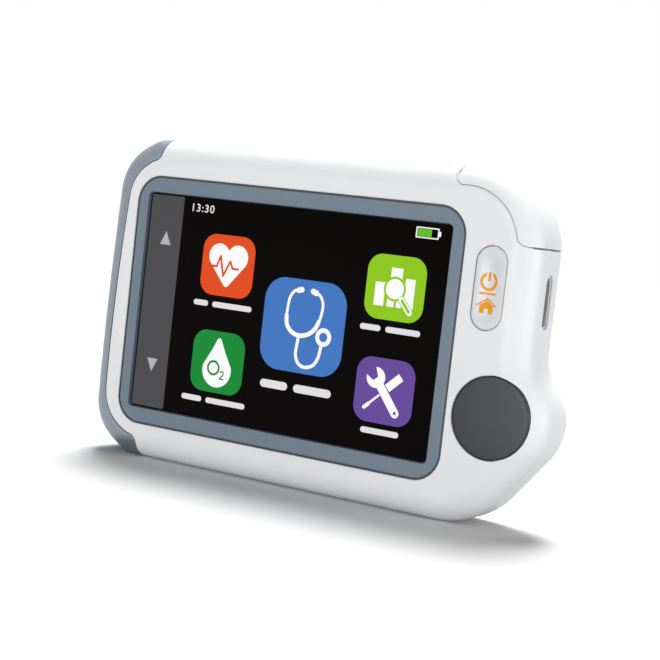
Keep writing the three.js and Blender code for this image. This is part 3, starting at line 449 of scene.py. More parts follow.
def tube(rings):
    """A solid through rings of points, closed at both ends."""
    count = len(rings[0])
    last = (len(rings) - 1) * count
    faces = []
    for start in range(0, last, count):
        for i in range(count):
            here, after = start + i, start + (i + 1) % count
            faces.append((here, here + count, after + count, after))
    faces.append(tuple(range(count)))
    faces.append(tuple(range(last, last + count))[::-1])
    return mesh_object("solid", [point for ring in rings for point in ring], faces)


def loft(points, rings):
    """A solid through rings of an outline. Each ring is a depth and an inset."""
    count = len(points)
    normals = []
    for i, p in enumerate(points):
        before, after = Vector(points[i - 1]), Vector(points[(i + 1) % count])
        here = Vector(p)
        first, second = (here - before).normalized(), (after - here).normalized()
        middle = (first + second).normalized()
        normals.append(Vector((middle.y, -middle.x)) / middle.dot(first))
    return tube([
        [(p[0] - n.x * inset, depth, p[1] - n.y * inset) for p, n in zip(points, normals)]
        for depth, inset in rings
    ])


def prism(points, start, end):
    return loft(points, [(start, 0), (end, 0)])


def box(x, y, z):
    return prism([(x[1], z[0]), (x[1], z[1]), (x[0], z[1]), (x[0], z[0])], *y)


def bar(x, z, radius, start, end, facets=BAR_FACETS):
    return prism(disc(x, z, radius, facets), start, end)


def side_loft(points, rings):
    """A loft of an outline (y, z) that runs along X."""
    solid = loft(points, rings)
    for v in solid.data.vertices:
        v.co = (v.co.y, v.co.x, v.co.z)
    solid.data.flip_normals()
    return solid


def turned(x, z, profile, facets=DISC_FACETS):
    """A solid turned about Y from (radius, depth) pairs that start and end on the axis."""
    inner = profile[1:-1]
    vertices = [(x, profile[0][1], z)]
    for i in range(facets):
        a = tau * i / facets
        vertices += [(x + r * cos(a), y, z + r * sin(a)) for r, y in inner]
    vertices.append((x, profile[-1][1], z))
    count = len(inner)
    faces = []
    for i in range(facets):
        here, after = 1 + i * count, 1 + (i + 1) % facets * count
        faces.append((0, here, after))
        for k in range(count - 1):
            faces.append((here + k, here + k + 1, after + k + 1, after + k))
        faces.append((here + count - 1, len(vertices) - 1, after + count - 1))
    return mesh_object("solid", vertices, faces)


def boolean(target, tool, operation):
    modifier = target.modifiers.new("boolean", "BOOLEAN")
    modifier.solver = "MANIFOLD"
    modifier.operation = operation
    modifier.object = tool
    made = target.evaluated_get(bpy.context.evaluated_depsgraph_get())
    target.data = bpy.data.meshes.new_from_object(made)
    target.modifiers.clear()
    bpy.data.objects.remove(tool)
    return target


def joined(whole, *pieces):
    for piece in pieces:
        boolean(whole, piece, "UNION")
    return whole


def without(whole, *pieces):
    for piece in pieces:
        boolean(whole, piece, "DIFFERENCE")
    return whole


def kept(whole, tool):
    return boolean(whole, tool, "INTERSECT")


def largest(solid):
    """Drops the loose crumbs that a cut leaves beside the main body."""
    mesh = solid.data
    parent = list(range(len(mesh.vertices)))

    def root(i):
        while parent[i] != i:
            parent[i] = parent[parent[i]]
            i = parent[i]
        return i

    for edge in mesh.edges:
        a, b = (root(i) for i in edge.vertices)
        parent[a] = b
    sizes = {}
    for polygon in mesh.polygons:
        r = root(polygon.vertices[0])
        sizes[r] = sizes.get(r, 0) + polygon.area
    best = max(sizes, key=sizes.get)
    index, vertices, faces = {}, [], []
    for polygon in mesh.polygons:
        if root(polygon.vertices[0]) != best:
            continue
        for i in polygon.vertices:
            if i not in index:
                index[i] = len(vertices)
                vertices.append(mesh.vertices[i].co.copy())
        faces.append([index[i] for i in polygon.vertices])
    bpy.data.objects.remove(solid)
    return mesh_object("solid", vertices, faces)


# ---------------------------------------------------------------- the casing's form

OUTLINE = body_outline()
OUTLINE_SIDES = list(zip(OUTLINE, OUTLINE[1:] + OUTLINE[:1]))


def casing_rings(offset):
    front, back = FRONT + offset, BACK - offset
    deep, wide = FRONT_ROUND_DEPTH - offset, FRONT_ROUND_INSET - offset
    back_deep, back_wide = BACK_ROUND_DEPTH - offset, BACK_ROUND_INSET - offset
    return [
        *((front, LEFT_EDGE_RADIUS * share) for share in LEFT_EDGE_SHARES),
        *rounded(front, deep, wide, ROUND_STEPS, offset),
        *rounded(back, -back_deep, back_wide, ROUND_STEPS, offset)[::-1],
    ]


def left_outline():
    """The outline's left end as a tree of close places, each with the way outwards."""
    tree = KDTree(len(OUTLINE) * LEFT_MOST_STEPS)
    ways = []
    for a, b in OUTLINE_SIDES:
        if min(a[0], b[0]) > LEFT + LEFT_END:
            continue
        length = dist(a, b)
        steps = min(LEFT_MOST_STEPS, ceil(length / LEFT_SPACING))
        for i in range(steps):
            share = i / steps
            place = (a[0] + (b[0] - a[0]) * share, a[1] + (b[1] - a[1]) * share, 0)
            tree.insert(place, len(ways))
            ways.append(((b[1] - a[1]) / length, (a[0] - b[0]) / length))
    tree.balance()
    return tree, ways


def rounded_reach(across, back):
    """How far the plain casing lies from the middle of the rounder left edge, in one direction."""
    radius, a, b = LEFT_EDGE_RADIUS, FRONT_ROUND_INSET, FRONT_ROUND_DEPTH
    p, q = a - radius, b - radius
    square = (across / a) ** 2 + (back / b) ** 2
    half = p * across / a ** 2 + q * back / b ** 2
    rest = (p / a) ** 2 + (q / b) ** 2 - 1
    reach = (-half + sqrt(half ** 2 - square * rest)) / square
    if p + reach * across < 0:
        return radius / back
    if q + reach * back < 0:
        return radius / across
    return reach


def eased(share):
    share = min(1.0, max(0.0, share))
    return share ** 2 * (3 - 2 * share)


def softened(solid):
    """Rounds the left front edge further, with the casing's width and depth kept."""
    radius = LEFT_EDGE_RADIUS
    for v in solid.data.vertices:
        q = radius - (v.co.y - FRONT)
        if v.co.x > LEFT + LEFT_END or q <= 0:
            continue
        _, index, distance = LEFT_TREE.find((v.co.x, v.co.z, 0))
        way_x, way_z = LEFT_WAYS[index]
        p = radius - distance
        if p <= 0 or way_x >= 0:
            continue
        length = hypot(p, q)
        across, back = p / length, q / length
        reach = rounded_reach(across, back)
        start = radius * LEFT_INNER_FADE
        shift = (reach - radius) * eased((length - start) / (reach - start)) * eased(-way_x / LEFT_SIDE_FADE)
        v.co.x -= way_x * shift * across
        v.co.z -= way_z * shift * across
        v.co.y += shift * back
    return solid


LEFT_TREE, LEFT_WAYS = left_outline()


def casing(offset):
    return softened(loft(OUTLINE, casing_rings(offset)))


def back_inset(y):
    """How far in from the outline the rounded back edge lies at this depth."""
    rise = max(0.0, y - (BACK - BACK_ROUND_DEPTH)) / BACK_ROUND_DEPTH
    return BACK_ROUND_INSET * (1 - sqrt(max(0.0, 1 - rise ** 2)))


def front_part():
    """The casing's form as far back as the parting line, with a chamfer there."""
    rings = [r for r in casing_rings(0) if r[0] < PARTING - PARTING_CHAMFER * 2]
    edge = PARTING - PARTING_CHAMFER
    rings.append((edge, back_inset(edge)))
    rings.append((PARTING, back_inset(PARTING) + PARTING_CHAMFER))
    return softened(loft(OUTLINE, rings))


def back_part():
    """The casing's form behind the parting line, with a chamfer there."""
    edge = COVER_FRONT + PARTING_CHAMFER
    rings = [(COVER_FRONT, back_inset(COVER_FRONT) + PARTING_CHAMFER), (edge, back_inset(edge))]
    rings += [r for r in casing_rings(0) if r[0] > edge + PARTING_CHAMFER]
    return loft(OUTLINE, rings)


def edge_distance(x, z):
    """Distance of a point inside the outline to the outline, and the way outwards."""
    best, way = 1e9, (1.0, 0.0)
    here = Vector((x, z))
    for a, b in OUTLINE_SIDES:
        start = Vector(a)
        along = Vector(b) - start
        share = min(1.0, max(0.0, (here - start).dot(along) / along.length_squared))
        across = start + along * share - here
        if across.length < best:
            best = across.length
            way = (along.y / along.length, -along.x / along.length)
    return best, way


def inside_outline(x, z):
    hit = False
    for a, b in OUTLINE_SIDES:
        if (a[1] > z) != (b[1] > z) and x < a[0] + (b[0] - a[0]) * (z - a[1]) / (b[1] - a[1]):
            hit = not hit
    return hit


def surface_path(seam, spacing=0.12):
    """The seam laid on the casing's front, from its side at one end to that at the other.

    Each entry is a place and the surface's outward direction there.
    """
    fine = []
    for a, b in zip(seam, seam[1:]):
        steps = max(1, round(dist(a, b) / (spacing / 4)))
        fine += [tuple(p + (q - p) * i / steps for p, q in zip(a, b)) for i in range(steps)]
    path = []
    for x, z in fine:
        if not inside_outline(x, z):
            continue
        distance, way = edge_distance(x, z)
        share = max(0.0, 1 - distance / FRONT_ROUND_INSET)
        cosine = sqrt(max(0.0, 1 - share ** 2))
        y = FRONT + FRONT_ROUND_DEPTH * (1 - cosine)
        sideways = FRONT_ROUND_DEPTH * share
        out = Vector((way[0] * sideways, -FRONT_ROUND_INSET * cosine, way[1] * sideways)).normalized()
        place = Vector((x, y, z))
        if not path or (place - path[-1][0]).length > spacing:
            path.append((place, out))
    ends = []
    for place, out in (path[0], path[-1]):
        flat = Vector((out.x, 0, out.z)).normalized()
        distance, _ = edge_distance(place.x, place.z)
        side = place + flat * distance
        depths = (FRONT + FRONT_ROUND_DEPTH, 0, PARTING + OVERRUN)
        ends.append([(Vector((side.x, y, side.z)), flat) for y in depths])
    return ends[0][::-1] + path + ends[1]


def groove(path, half_width):
    """A diamond-shaped bar that cuts a small chamfer on both sides of a seam."""
    rings = []
    for i, (place, out) in enumerate(path):
        before, after = path[max(0, i - 1)][0], path[min(len(path) - 1, i + 1)][0]
        along = (after - before).normalized()
        across = out.cross(along).normalized()
        out = along.cross(across).normalized()
        rings.append([place + way * half_width for way in (out, across, -out, -across)])
    return softened(tube(rings))


SEAM_PATH = surface_path(cover_seam(SEAM_GAP / 2))
BAND_PATH = surface_path(band_seam(BAND_SEAM / 2))


# ---------------------------------------------------------------- finishes

METAL_SHADE = 0.06
GLASS_GLOSS = 0.03
PIXEL = 0.15


def srgb(*levels):
    """Linear values of a colour given as 0 to 255."""
    shares = [level / 255 for level in levels]
    return tuple(s / 12.92 if s <= 0.04045 else ((s + 0.055) / 1.055) ** 2.4 for s in shares)


def scaled(colour, factor):
    return tuple(min(1.0, c * factor) for c in colour)


def fill(sockets, values):
    """Gives sockets their values, or links them to other nodes' outputs."""
    for name, value in values.items():
        if isinstance(value, bpy.types.NodeSocket):
            sockets[name].id_data.links.new(value, sockets[name])
        else:
            sockets[name].default_value = value


def add_node(tree, kind, inputs=(), **settings):
    made = tree.nodes.new("ShaderNode" + kind)
    for name, value in settings.items():
        setattr(made, name, value)
    fill(made.inputs, dict(inputs))
    return made


def blank(name):
    material = bpy.data.materials.new(name)
    material.use_nodes = True
    return material, material.node_tree


def finished(material, inputs):
    fill(material.node_tree.nodes["Principled BSDF"].inputs, inputs)
    return material


def places(tree, size, stretch=(1, 1, 1)):
    """Object coordinates in steps of a size in millimetres, stretched along the axes."""
    source = add_node(tree, "TexCoord").outputs["Object"]
    scale = [1 / (size * MM * s) for s in stretch]
    return add_node(tree, "Mapping", {"Vector": source, "Scale": scale}).outputs["Vector"]


def noise(tree, size, detail=2.0, stretch=(1, 1, 1)):
    inputs = {"Vector": places(tree, size, stretch), "Scale": 1, "Detail": detail}
    return add_node(tree, "TexNoise", inputs).outputs["Fac"]


def between(tree, factor, low, high):
    inputs = {"Value": factor, "From Min": 0.3, "From Max": 0.7, "To Min": low, "To Max": high}
    return add_node(tree, "MapRange", inputs).outputs["Result"]


def tint(tree, factor, dark, light):
    inputs = {"Factor": factor, "A": (*dark, 1), "B": (*light, 1)}
    return add_node(tree, "Mix", inputs, data_type="RGBA").outputs["Result"]


def shaded(tree, factor, colour, shade):
    return tint(tree, factor, scaled(colour, 1 - shade), scaled(colour, 1 + shade))


def relief(tree, height, depth, under=None):
    """A bump as deep as this, in millimetres, on top of another one's normal."""
    inputs = {"Height": height, "Strength": 1, "Distance": depth * MM}
    if under is not None:
        inputs["Normal"] = under
    return add_node(tree, "Bump", inputs).outputs["Normal"]


def moulded(name, colour, roughness, grain=0.35, depth=0.002, shade=0.03, specular=0.5, coat=0.0):
    """Moulded plastic: fine grain, a slow drift of tone and uneven gloss."""
    material, tree = blank(name)
    drift = noise(tree, 9, 3)
    return finished(material, {
        "Base Color": shaded(tree, drift, colour, shade),
        "Roughness": between(tree, noise(tree, 3, 4), roughness * 0.85, roughness * 1.15),
        "Normal": relief(tree, noise(tree, grain, 3), depth, relief(tree, drift, depth * 3)),
        "Specular IOR Level": specular,
        "Coat Weight": coat,
        "Coat Roughness": 0.12,
    })


def metal(name, colour, roughness, stretch=(1, 1, 1), grain=0.12, depth=0.0012, metallic=1.0):
    """Metal with a brushed, rolled or blasted grain."""
    material, tree = blank(name)
    lines = noise(tree, grain, 4, stretch)
    return finished(material, {
        "Base Color": shaded(tree, noise(tree, 4, 3), colour, METAL_SHADE),
        "Roughness": between(tree, lines, roughness * 0.8, roughness * 1.2),
        "Normal": relief(tree, lines, depth),
        "Metallic": metallic,
    })


def lit(name, *levels):
    """A lit area of the screen, under the gloss of its glass, in a colour given as 0 to 255."""
    material, tree = blank(name)
    light, dark = ((*scaled(srgb(*levels), factor), 1) for factor in (1.03, 0.97))
    pixels = {"Vector": places(tree, PIXEL), "Scale": 1, "Color1": dark, "Color2": light}
    return finished(material, {
        "Base Color": (0, 0, 0, 1),
        "Roughness": 0.06,
        "Specular IOR Level": GLASS_GLOSS,
        "Emission Strength": 1,
        "Emission Color": add_node(tree, "TexChecker", pixels).outputs["Color"],
    })


def board_finish():
    """Green solder mask with a faint pattern of tracks under it."""
    material, tree = blank("circuit_board")
    turn = {"Vector": places(tree, 1.2), "Rotation": (QUARTER, 0, 0)}
    tracks = add_node(tree, "TexBrick", {
        "Vector": add_node(tree, "Mapping", turn).outputs["Vector"],
        "Scale": 1,
        "Mortar Size": 0.06,
        "Mortar Smooth": 0.3,
        "Color1": (0.012, 0.085, 0.038, 1),
        "Color2": (0.015, 0.10, 0.045, 1),
        "Mortar": (0.03, 0.17, 0.07, 1),
    })
    return finished(material, {
        "Base Color": tracks.outputs["Color"],
        "Normal": relief(tree, tracks.outputs["Fac"], -0.02),
        "Roughness": between(tree, noise(tree, 2, 3), 0.3, 0.42),
    })


def glass_finish():
    """Black touch glass: almost a mirror, with faint smears in its gloss."""
    material, tree = blank("screen_glass")
    smears = noise(tree, 6, 5, (1, 1, 3))
    return finished(material, {
        "Base Color": tint(tree, noise(tree, 8, 2), (0.0016, 0.0009, 0.0008), (0.0024, 0.0014, 0.0012)),
        "Roughness": between(tree, smears, 0.04, 0.09),
        "Specular IOR Level": GLASS_GLOSS,
    })


WHITE = moulded("white_shell", (0.76, 0.765, 0.78), 0.5, specular=0.35)
KEY_WHITE = moulded("white_key", (0.64, 0.66, 0.675), 0.42, grain=0.2, specular=0.35)
ORANGE_INK = moulded("orange_ink", srgb(228, 148, 6), 0.5, grain=0.15, specular=0.2)
BAND = metal("band_steel", (0.225, 0.265, 0.31), 0.42, metallic=0.75, grain=0.1)
PLATE = metal("plate_steel", (0.021, 0.0235, 0.026), 0.5, metallic=0.35, grain=0.1)
BEZEL = moulded("bezel_paint", (0.155, 0.20, 0.25), 0.45, grain=0.15, depth=0.001, specular=0.25)
# Dark silicone of the pads; the same colour also paints the shade in the bezel seam
SILICONE_AND_SEAM_SHADE = moulded("dark_silicone", (0.04, 0.045, 0.05), 0.7, grain=0.25, depth=0.006)
DARK = moulded("black_plastic", (0.012, 0.012, 0.013), 0.5, grain=0.3, depth=0.006)
TRAY = moulded("tray_plastic", (0.022, 0.025, 0.03), 0.55, grain=0.3, depth=0.006)
FRAME_METAL = metal("display_frame", (0.05, 0.055, 0.065), 0.4, metallic=0.8)
FOAM = moulded("dark_foam", (0.011, 0.011, 0.012), 0.95, grain=0.12, depth=0.05)
AMBER = moulded("amber_film", (0.48, 0.20, 0.03), 0.35, grain=0.4, depth=0.002, shade=0.12)
GOLD = metal("gold_contact", (0.75, 0.50, 0.16), 0.25, stretch=(1, 1, 12))
SPRING = metal("spring_steel", (0.50, 0.51, 0.53), 0.28, stretch=(1, 10, 1))
TIN = metal("tin_plate", (0.58, 0.59, 0.61), 0.3, stretch=(8, 1, 1))
FOIL = metal("cell_foil", (0.42, 0.45, 0.49), 0.38, grain=0.5, depth=0.01)
SCREW = metal("screw_steel", (0.10, 0.10, 0.11), 0.35, grain=0.15, depth=0.003)
LABEL = moulded("label_film", (0.56, 0.57, 0.58), 0.5, grain=0.1, depth=0.003, shade=0.02)
PORT = metal("port_shell", (0.78, 0.79, 0.81), 0.45, stretch=(8, 1, 1), metallic=0.4)
WINDOW = moulded("sensor_window", (0.07, 0.008, 0.009), 0.08, grain=2, depth=0.001, coat=0.6)
BOARD = board_finish()
GLASS = glass_finish()


# ---------------------------------------------------------------- pieces

def piece(name, solid, material, slot, body="casing", nodes=()):
    solid.name = name
    mesh = solid.data
    mesh.name = name
    mesh.transform(Matrix.Scale(MM, 4))
    mesh.materials.clear()
    mesh.materials.append(material)
    mesh.polygons.foreach_set("use_smooth", [True] * len(mesh.polygons))
    mesh.set_sharp_from_angle(angle=SMOOTH_ANGLE)
    normals = solid.modifiers.new("normals", "WEIGHTED_NORMAL")
    normals.keep_sharp = True
    normals.weight = 100
    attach(solid, body)
    if nodes:
        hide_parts(*nodes)
    return solid


def pocket(outline, gap, surface, floor):
    """A pocket in a flat face, wider than the outline by a gap, with a small chamfer at its mouth."""
    inwards = 1 if floor > surface else -1
    rings = [
        (surface - OVERRUN * inwards, -gap - EDGE_CHAMFER - OVERRUN),
        (surface + EDGE_CHAMFER * inwards, -gap),
        (floor, -gap),
    ]
    return loft(outline, rings[::inwards])


WHOLE = (FRONT - OVERRUN, BACK + OVERRUN)
BOSS_DEPTH = (SKIN_INSIDE - SEAT_GAP, PARTING)
NOTCH_LEFT = HINGE_X - KNUCKLE_RADIUS - SEAM_GAP
NOTCH_LOW = HINGE_Z - KNUCKLE_RADIUS - SEAM_GAP
COVER_EDGE = SEAM_X + SEAM_GAP


def band_stud(grow):
    ends = [(LEFT + BAND_THICKNESS / 2, 0), (LEFT + BAND_WIDTH + grow * 2, 0)]
    return side_loft(disc(0, BAND_STUD_Z, BAND_STUD_RADIUS + grow), ends)


def connector_slot():
    return side_loft(pill(SLOT_Y, SLOT_Z, SLOT_WIDTH, SLOT_LENGTH), [
        (GRIP_WALL - WALL - OVERRUN, 0),
        (GRIP_WALL - EDGE_CHAMFER, 0),
        (GRIP_WALL + OVERRUN, -EDGE_CHAMFER - OVERRUN),
    ])


def screw_holes():
    start = BACK - SCREW_SINK - SCREW_HEAD_DEPTH - SCREW_LENGTH - BORE_GAP
    return [bar(x, z, SCREW_SHANK + BORE_GAP, start, BACK + OVERRUN) for x, z in SCREWS]


def front_housing():
    inside = box((LEFT + BAND_WIDTH - BAND_BED_WALL, RIGHT), WHOLE, (-OVERRUN, OVER_TOP))
    body = without(front_part(), kept(casing(WALL), inside))
    bed_floor = FRONT + PLATE_THICKNESS + BED_FLOOR
    plate_bed = bar(PLATE_X, PLATE_Z, PLATE_RADIUS + BED_WALL, BOSS_DEPTH[0], bed_floor, DISC_FACETS)
    boss = box((NOTCH_LEFT - BAY_WALL, SEAM_X), (FRONT - OVERRUN, PARTING), (NOTCH_LOW - BAY_WALL, OVER_TOP))
    body = joined(
        body,
        *(bar(x, z, POST_RADIUS, *BOSS_DEPTH) for x, z in SCREWS),
        kept(prism(bay_outline(BAY_WALL), *BOSS_DEPTH), casing(WALL / 3)),
        kept(plate_bed, casing(WALL / 3)),
        prism(bezel_outline(RIM_WALL), BOSS_DEPTH[0], RIM_BACK),
        kept(boss, casing(WALL / 3)),
    )
    plate = disc(PLATE_X, PLATE_Z, PLATE_RADIUS, DISC_FACETS)
    pin_start = HINGE_TAB[0] - SEAM_GAP - HINGE_PIN_REACH - BORE_GAP
    notch_depth = (HINGE_TAB[0] - SEAM_GAP, HINGE_TAB[1] + SEAM_GAP)
    return largest(without(
        body,
        pocket(bezel_outline(0), BEZEL_SEAM, FRONT, LEDGE_FRONT),
        prism(bezel_outline(-BEZEL_LEDGE), FRONT - OVERRUN, RIM_BACK + OVERRUN),
        pocket(key_outline(0), KEY_SEAM, FRONT, PARTING),
        prism(key_outline(KEY_FLANGE_ROOM), SKIN_INSIDE, KEY_FLANGE_BACK + KEY_TRAVEL),
        pocket(plate, PLATE_SEAM, FRONT, FRONT + PLATE_THICKNESS + SEAT_GAP),
        bar(PLATE_X, PLATE_Z, STUD_RADIUS + BORE_GAP, FRONT - OVERRUN, PARTING),
        without(prism(band_side(BAND_SEAM), *WHOLE), casing(BAND_THICKNESS + COVER_GAP)),
        band_stud(BORE_GAP),
        prism(bay_outline(0), SKIN_INSIDE, PARTING + OVERRUN),
        prism(cover_side(SEAM_GAP - COVER_SEAM), *WHOLE),
        box((NOTCH_LEFT, COVER_EDGE + OVERRUN), notch_depth, (NOTCH_LOW, OVER_TOP)),
        bar(HINGE_X, HINGE_Z, HINGE_PIN_RADIUS + BORE_GAP, pin_start, PARTING + OVERRUN),
        connector_slot(),
        *screw_holes(),
        groove(SEAM_PATH, SEAM_CHAMFER),
        groove(BAND_PATH, BAND_CHAMFER),
    ))


def grille_holes():
    for ring in range(GRILLE_RINGS):
        count = max(1, ring * 6)
        for i in range(count):
            a = tau * i / count
            x = SPEAKER_X + cos(a) * ring * GRILLE_PITCH
            z = SPEAKER_Z + sin(a) * ring * GRILLE_PITCH
            yield pocket(disc(x, z, GRILLE_RADIUS, GRILLE_FACETS), 0, BACK, PARTING)


def rear_cover():
    boss_end = COVER_INSIDE + SEAT_GAP
    body = joined(
        without(back_part(), casing(WALL)),
        *(bar(x, z, POST_RADIUS, COVER_FRONT, boss_end) for x, z in SCREWS),
        prism(back_plate_outline(BED_WALL), BACK - BACK_PLATE_THICKNESS - BED_FLOOR, boss_end),
    )
    label = rounded_rectangle(LABEL_X, LABEL_Z, LABEL_WIDTH, LABEL_HEIGHT, LABEL_RADIUS)
    head_floor = BACK - SCREW_SINK - SCREW_HEAD_DEPTH - SEAT_GAP
    return largest(without(
        body,
        pocket(back_plate_outline(0), BACK_PLATE_SEAM, BACK, BACK - BACK_PLATE_THICKNESS - SEAT_GAP),
        bar(BACK_PLATE_X, BACK_PLATE_Z, STUD_RADIUS + BORE_GAP, PARTING, BACK),
        pocket(label, BORE_GAP, BACK, BACK - LABEL_SINK - LABEL_THICKNESS - SEAT_GAP),
        *grille_holes(),
        *screw_holes(),
        *(pocket(disc(x, z, SCREW_HEAD_RADIUS), BORE_GAP, BACK, head_floor) for x, z in SCREWS),
    ))


def left_electrode():
    body = without(front_part(), casing(BAND_THICKNESS))
    body = kept(body, prism(band_side(0), FRONT - OVERRUN, PARTING + OVERRUN))
    return joined(largest(without(body, groove(BAND_PATH, BAND_CHAMFER))), band_stud(0))


def swing_rooms():
    """The shell's top edge as the cover meets it on its way up, turned back to where the cover rests."""
    edge = COVER_EDGE - COVER_SEAM + SWING_GAP - HINGE_X
    top, low = BODY_HEIGHT + SWING_GAP - HINGE_Z, -SWING_HEIGHT
    for degrees in SWING_ANGLES:
        c, s = cos(radians(degrees)), sin(radians(degrees))
        yield prism([
            (HINGE_X + x * c + z * s, HINGE_Z - x * s + z * c)
            for x, z in ((0, low), (edge, low), (edge, top), (0, top))
        ], *WHOLE)


def sensor_cover():
    body = without(front_part(), casing(COVER_WALL))
    body = kept(body, prism(cover_side(SEAM_GAP), FRONT - OVERRUN, PARTING + OVERRUN))
    body = largest(without(body, groove(SEAM_PATH, SEAM_CHAMFER), *swing_rooms()))
    sleeve = bar(HINGE_X, HINGE_Z, KNUCKLE_RADIUS, *HINGE_TAB)
    arms = box((HINGE_X, COVER_EDGE + BAY_WALL), HINGE_TAB, (HINGE_Z, BODY_HEIGHT))
    room = box(
        (HINGE_X - KNUCKLE_RADIUS - OVERRUN, COVER_EDGE + COVER_WALL),
        (HINGE_TAB[0] + KNUCKLE_WIDTH, HINGE_TAB[1] - KNUCKLE_WIDTH),
        (HINGE_Z - KNUCKLE_RADIUS - OVERRUN, BODY_HEIGHT - TAB_PLATE),
    )
    plate = box((HINGE_X, COVER_EDGE + COVER_WALL), HINGE_TAB, (BODY_HEIGHT - TAB_PLATE, BODY_HEIGHT))
    hinge = joined(without(joined(sleeve, arms), room), plate)
    body = joined(body, kept(hinge, casing(0)))
    return without(body, bar(HINGE_X, HINGE_Z, HINGE_PIN_RADIUS + BORE_GAP, *WHOLE))


def bezel_shade_cord():
    """A dark cord in the seam round the bezel: painted shade where the seam's shadow falls."""
    sunk = FRONT + SHADE_CORD_SINK
    cord = loft(bezel_outline(BEZEL_SEAM - SNUG), [(sunk, SHADE_CORD_EDGE), (sunk, 0), (LEDGE_FRONT - SNUG, 0)])
    return without(cord, prism(bezel_outline(SNUG - BEZEL_TRIM), FRONT - OVERRUN, LEDGE_FRONT + OVERRUN))


def bezel_ring():
    rings = rounded(BEZEL_FRONT, BEZEL_CHAMFER, BEZEL_CHAMFER, BEZEL_STEPS)
    ring = loft(bezel_outline(-BEZEL_TRIM), [*rings, (BEZEL_FRONT + BEZEL_DEPTH, 0)])
    width, height = GLASS_WIDTH + SEAT_GAP * 2, GLASS_HEIGHT + SEAT_GAP * 2
    opening = rounded_rectangle(SCREEN_X, SCREEN_Z, width, height, GLASS_RADIUS + SEAT_GAP)
    slope = BEZEL_SLOPE / (GLASS_FRONT - BEZEL_FRONT)
    return without(ring, loft(opening, [
        (BEZEL_FRONT - OVERRUN, -BEZEL_SLOPE - slope * OVERRUN),
        (GLASS_FRONT, 0),
        (BEZEL_FRONT + BEZEL_DEPTH + OVERRUN, 0),
    ]))


def key_cap():
    """A pill with softly rounded edges and a long shallow dish in its face."""
    half = KEY_WIDTH / 2 - KEY_TRIM
    rim, last = half - KEY_DISH_WIDTH, half - KEY_DISH_MARGIN
    dish = []
    for step in range(DISH_STEPS, -1, -1):
        share = step / DISH_STEPS
        dish.append((KEY_FRONT + KEY_DISH * (1 - cos(pi * share)) / 2, rim + (last - rim) * share))
    return loft(key_outline(-KEY_TRIM), [
        *dish,
        *rounded(KEY_FRONT, KEY_EDGE, KEY_EDGE, KEY_STEPS),
        (KEY_FLANGE_FRONT + SEAT_GAP, 0),
    ])


def home_button():
    flange = prism(key_outline(KEY_FLANGE_REACH), KEY_FLANGE_FRONT, KEY_FLANGE_BACK)
    stem = bar(KEY_X, KEY_Z, KEY_STEM_RADIUS, KEY_FLANGE_BACK - SEAT_GAP, KEY_STEM_END)
    return joined(key_cap(), flange, stem)


def right_electrode():
    rear = FRONT + PLATE_THICKNESS
    flat = PLATE_RADIUS - PLATE_EDGE
    shares = [step / CROWN_STEPS for step in range(CROWN_STEPS + 1)]
    edge = rounded(FRONT + PLATE_CROWN, PLATE_EDGE, PLATE_EDGE, PLATE_STEPS)
    return turned(PLATE_X, PLATE_Z, [
        *((flat * share, FRONT + PLATE_CROWN * share ** 2) for share in shares),
        *((PLATE_RADIUS - inset, depth) for depth, inset in edge[1:]),
        (PLATE_RADIUS, rear),
        (STUD_RADIUS, rear),
        (STUD_RADIUS, rear + STUD_LENGTH),
        (0, rear + STUD_LENGTH),
    ])


def back_electrode():
    rear = BACK - BACK_PLATE_THICKNESS
    rings = [(rear, 0), *rounded(BACK, -BACK_PLATE_EDGE, BACK_PLATE_EDGE, BACK_PLATE_STEPS)[::-1]]
    stud = bar(BACK_PLATE_X, BACK_PLATE_Z, STUD_RADIUS, rear - STUD_LENGTH, rear + SEAT_GAP)
    return joined(loft(back_plate_outline(0), rings), stud)


def cover_screw(x, z):
    top = BACK - SCREW_SINK
    head = top - SCREW_HEAD_DEPTH
    tip = head - SCREW_LENGTH
    edge = rounded(top, -SCREW_EDGE, SCREW_EDGE, SCREW_STEPS)[::-1]
    screw = turned(x, z, [
        (0, tip),
        (SCREW_SHANK * SCREW_TIP_SHARE, tip),
        (SCREW_SHANK, tip + SCREW_TIP),
        (SCREW_SHANK, head),
        (SCREW_HEAD_RADIUS, head),
        *((SCREW_HEAD_RADIUS - inset, depth) for depth, inset in edge),
        (0, top),
    ], BAR_FACETS)
    depth = (top - CROSS_DEPTH, top + OVERRUN)
    for wide, high in ((CROSS_REACH, CROSS_HALF_WIDTH), (CROSS_HALF_WIDTH, CROSS_REACH)):
        without(screw, box((x - wide, x + wide), depth, (z - high, z + high)))
    return screw


piece("shell_front", front_housing(), WHITE, "white_shell", nodes=["front_housing"])
piece("shell_rear", rear_cover(), WHITE, "white_shell", nodes=["rear_cover"])
piece("electrode_left", left_electrode(), BAND, "band_steel", nodes=["left_electrode"])
piece("bezel", bezel_ring(), BEZEL, "bezel_paint", nodes=["bezel_ring"])
# The dark cord in the bezel seam is painted shade, where the seam's shadow falls
piece("bezel_seam_shade_cord", bezel_shade_cord(), SILICONE_AND_SEAM_SHADE, "dark_silicone")
piece("key_home", home_button(), KEY_WHITE, "white_key", "home_key", ["home_button"])
piece("electrode_right", right_electrode(), PLATE, "plate_steel", nodes=["right_electrode"])
piece("electrode_back", back_electrode(), PLATE, "plate_steel", nodes=["back_electrode"])
piece("cover_sensor", sensor_cover(), WHITE, "white_shell", "sensor_clip", ["sensor_cover"])
for number, screw_place in enumerate(SCREWS, 1):
    screw = cover_screw(*screw_place)
    piece(f"screw_{number}", screw, SCREW, "screw_steel", nodes=[f"cover_screw_{number}"])


# ---------------------------------------------------------------- soft and wound parts

def bevelled(solid, width, segments):
    edge = solid.modifiers.new("edge", "BEVEL")
    edge.width = width
    edge.segments = segments
    edge.limit_method = "ANGLE"
    edge.angle_limit = BEVEL_ANGLE
    return edge


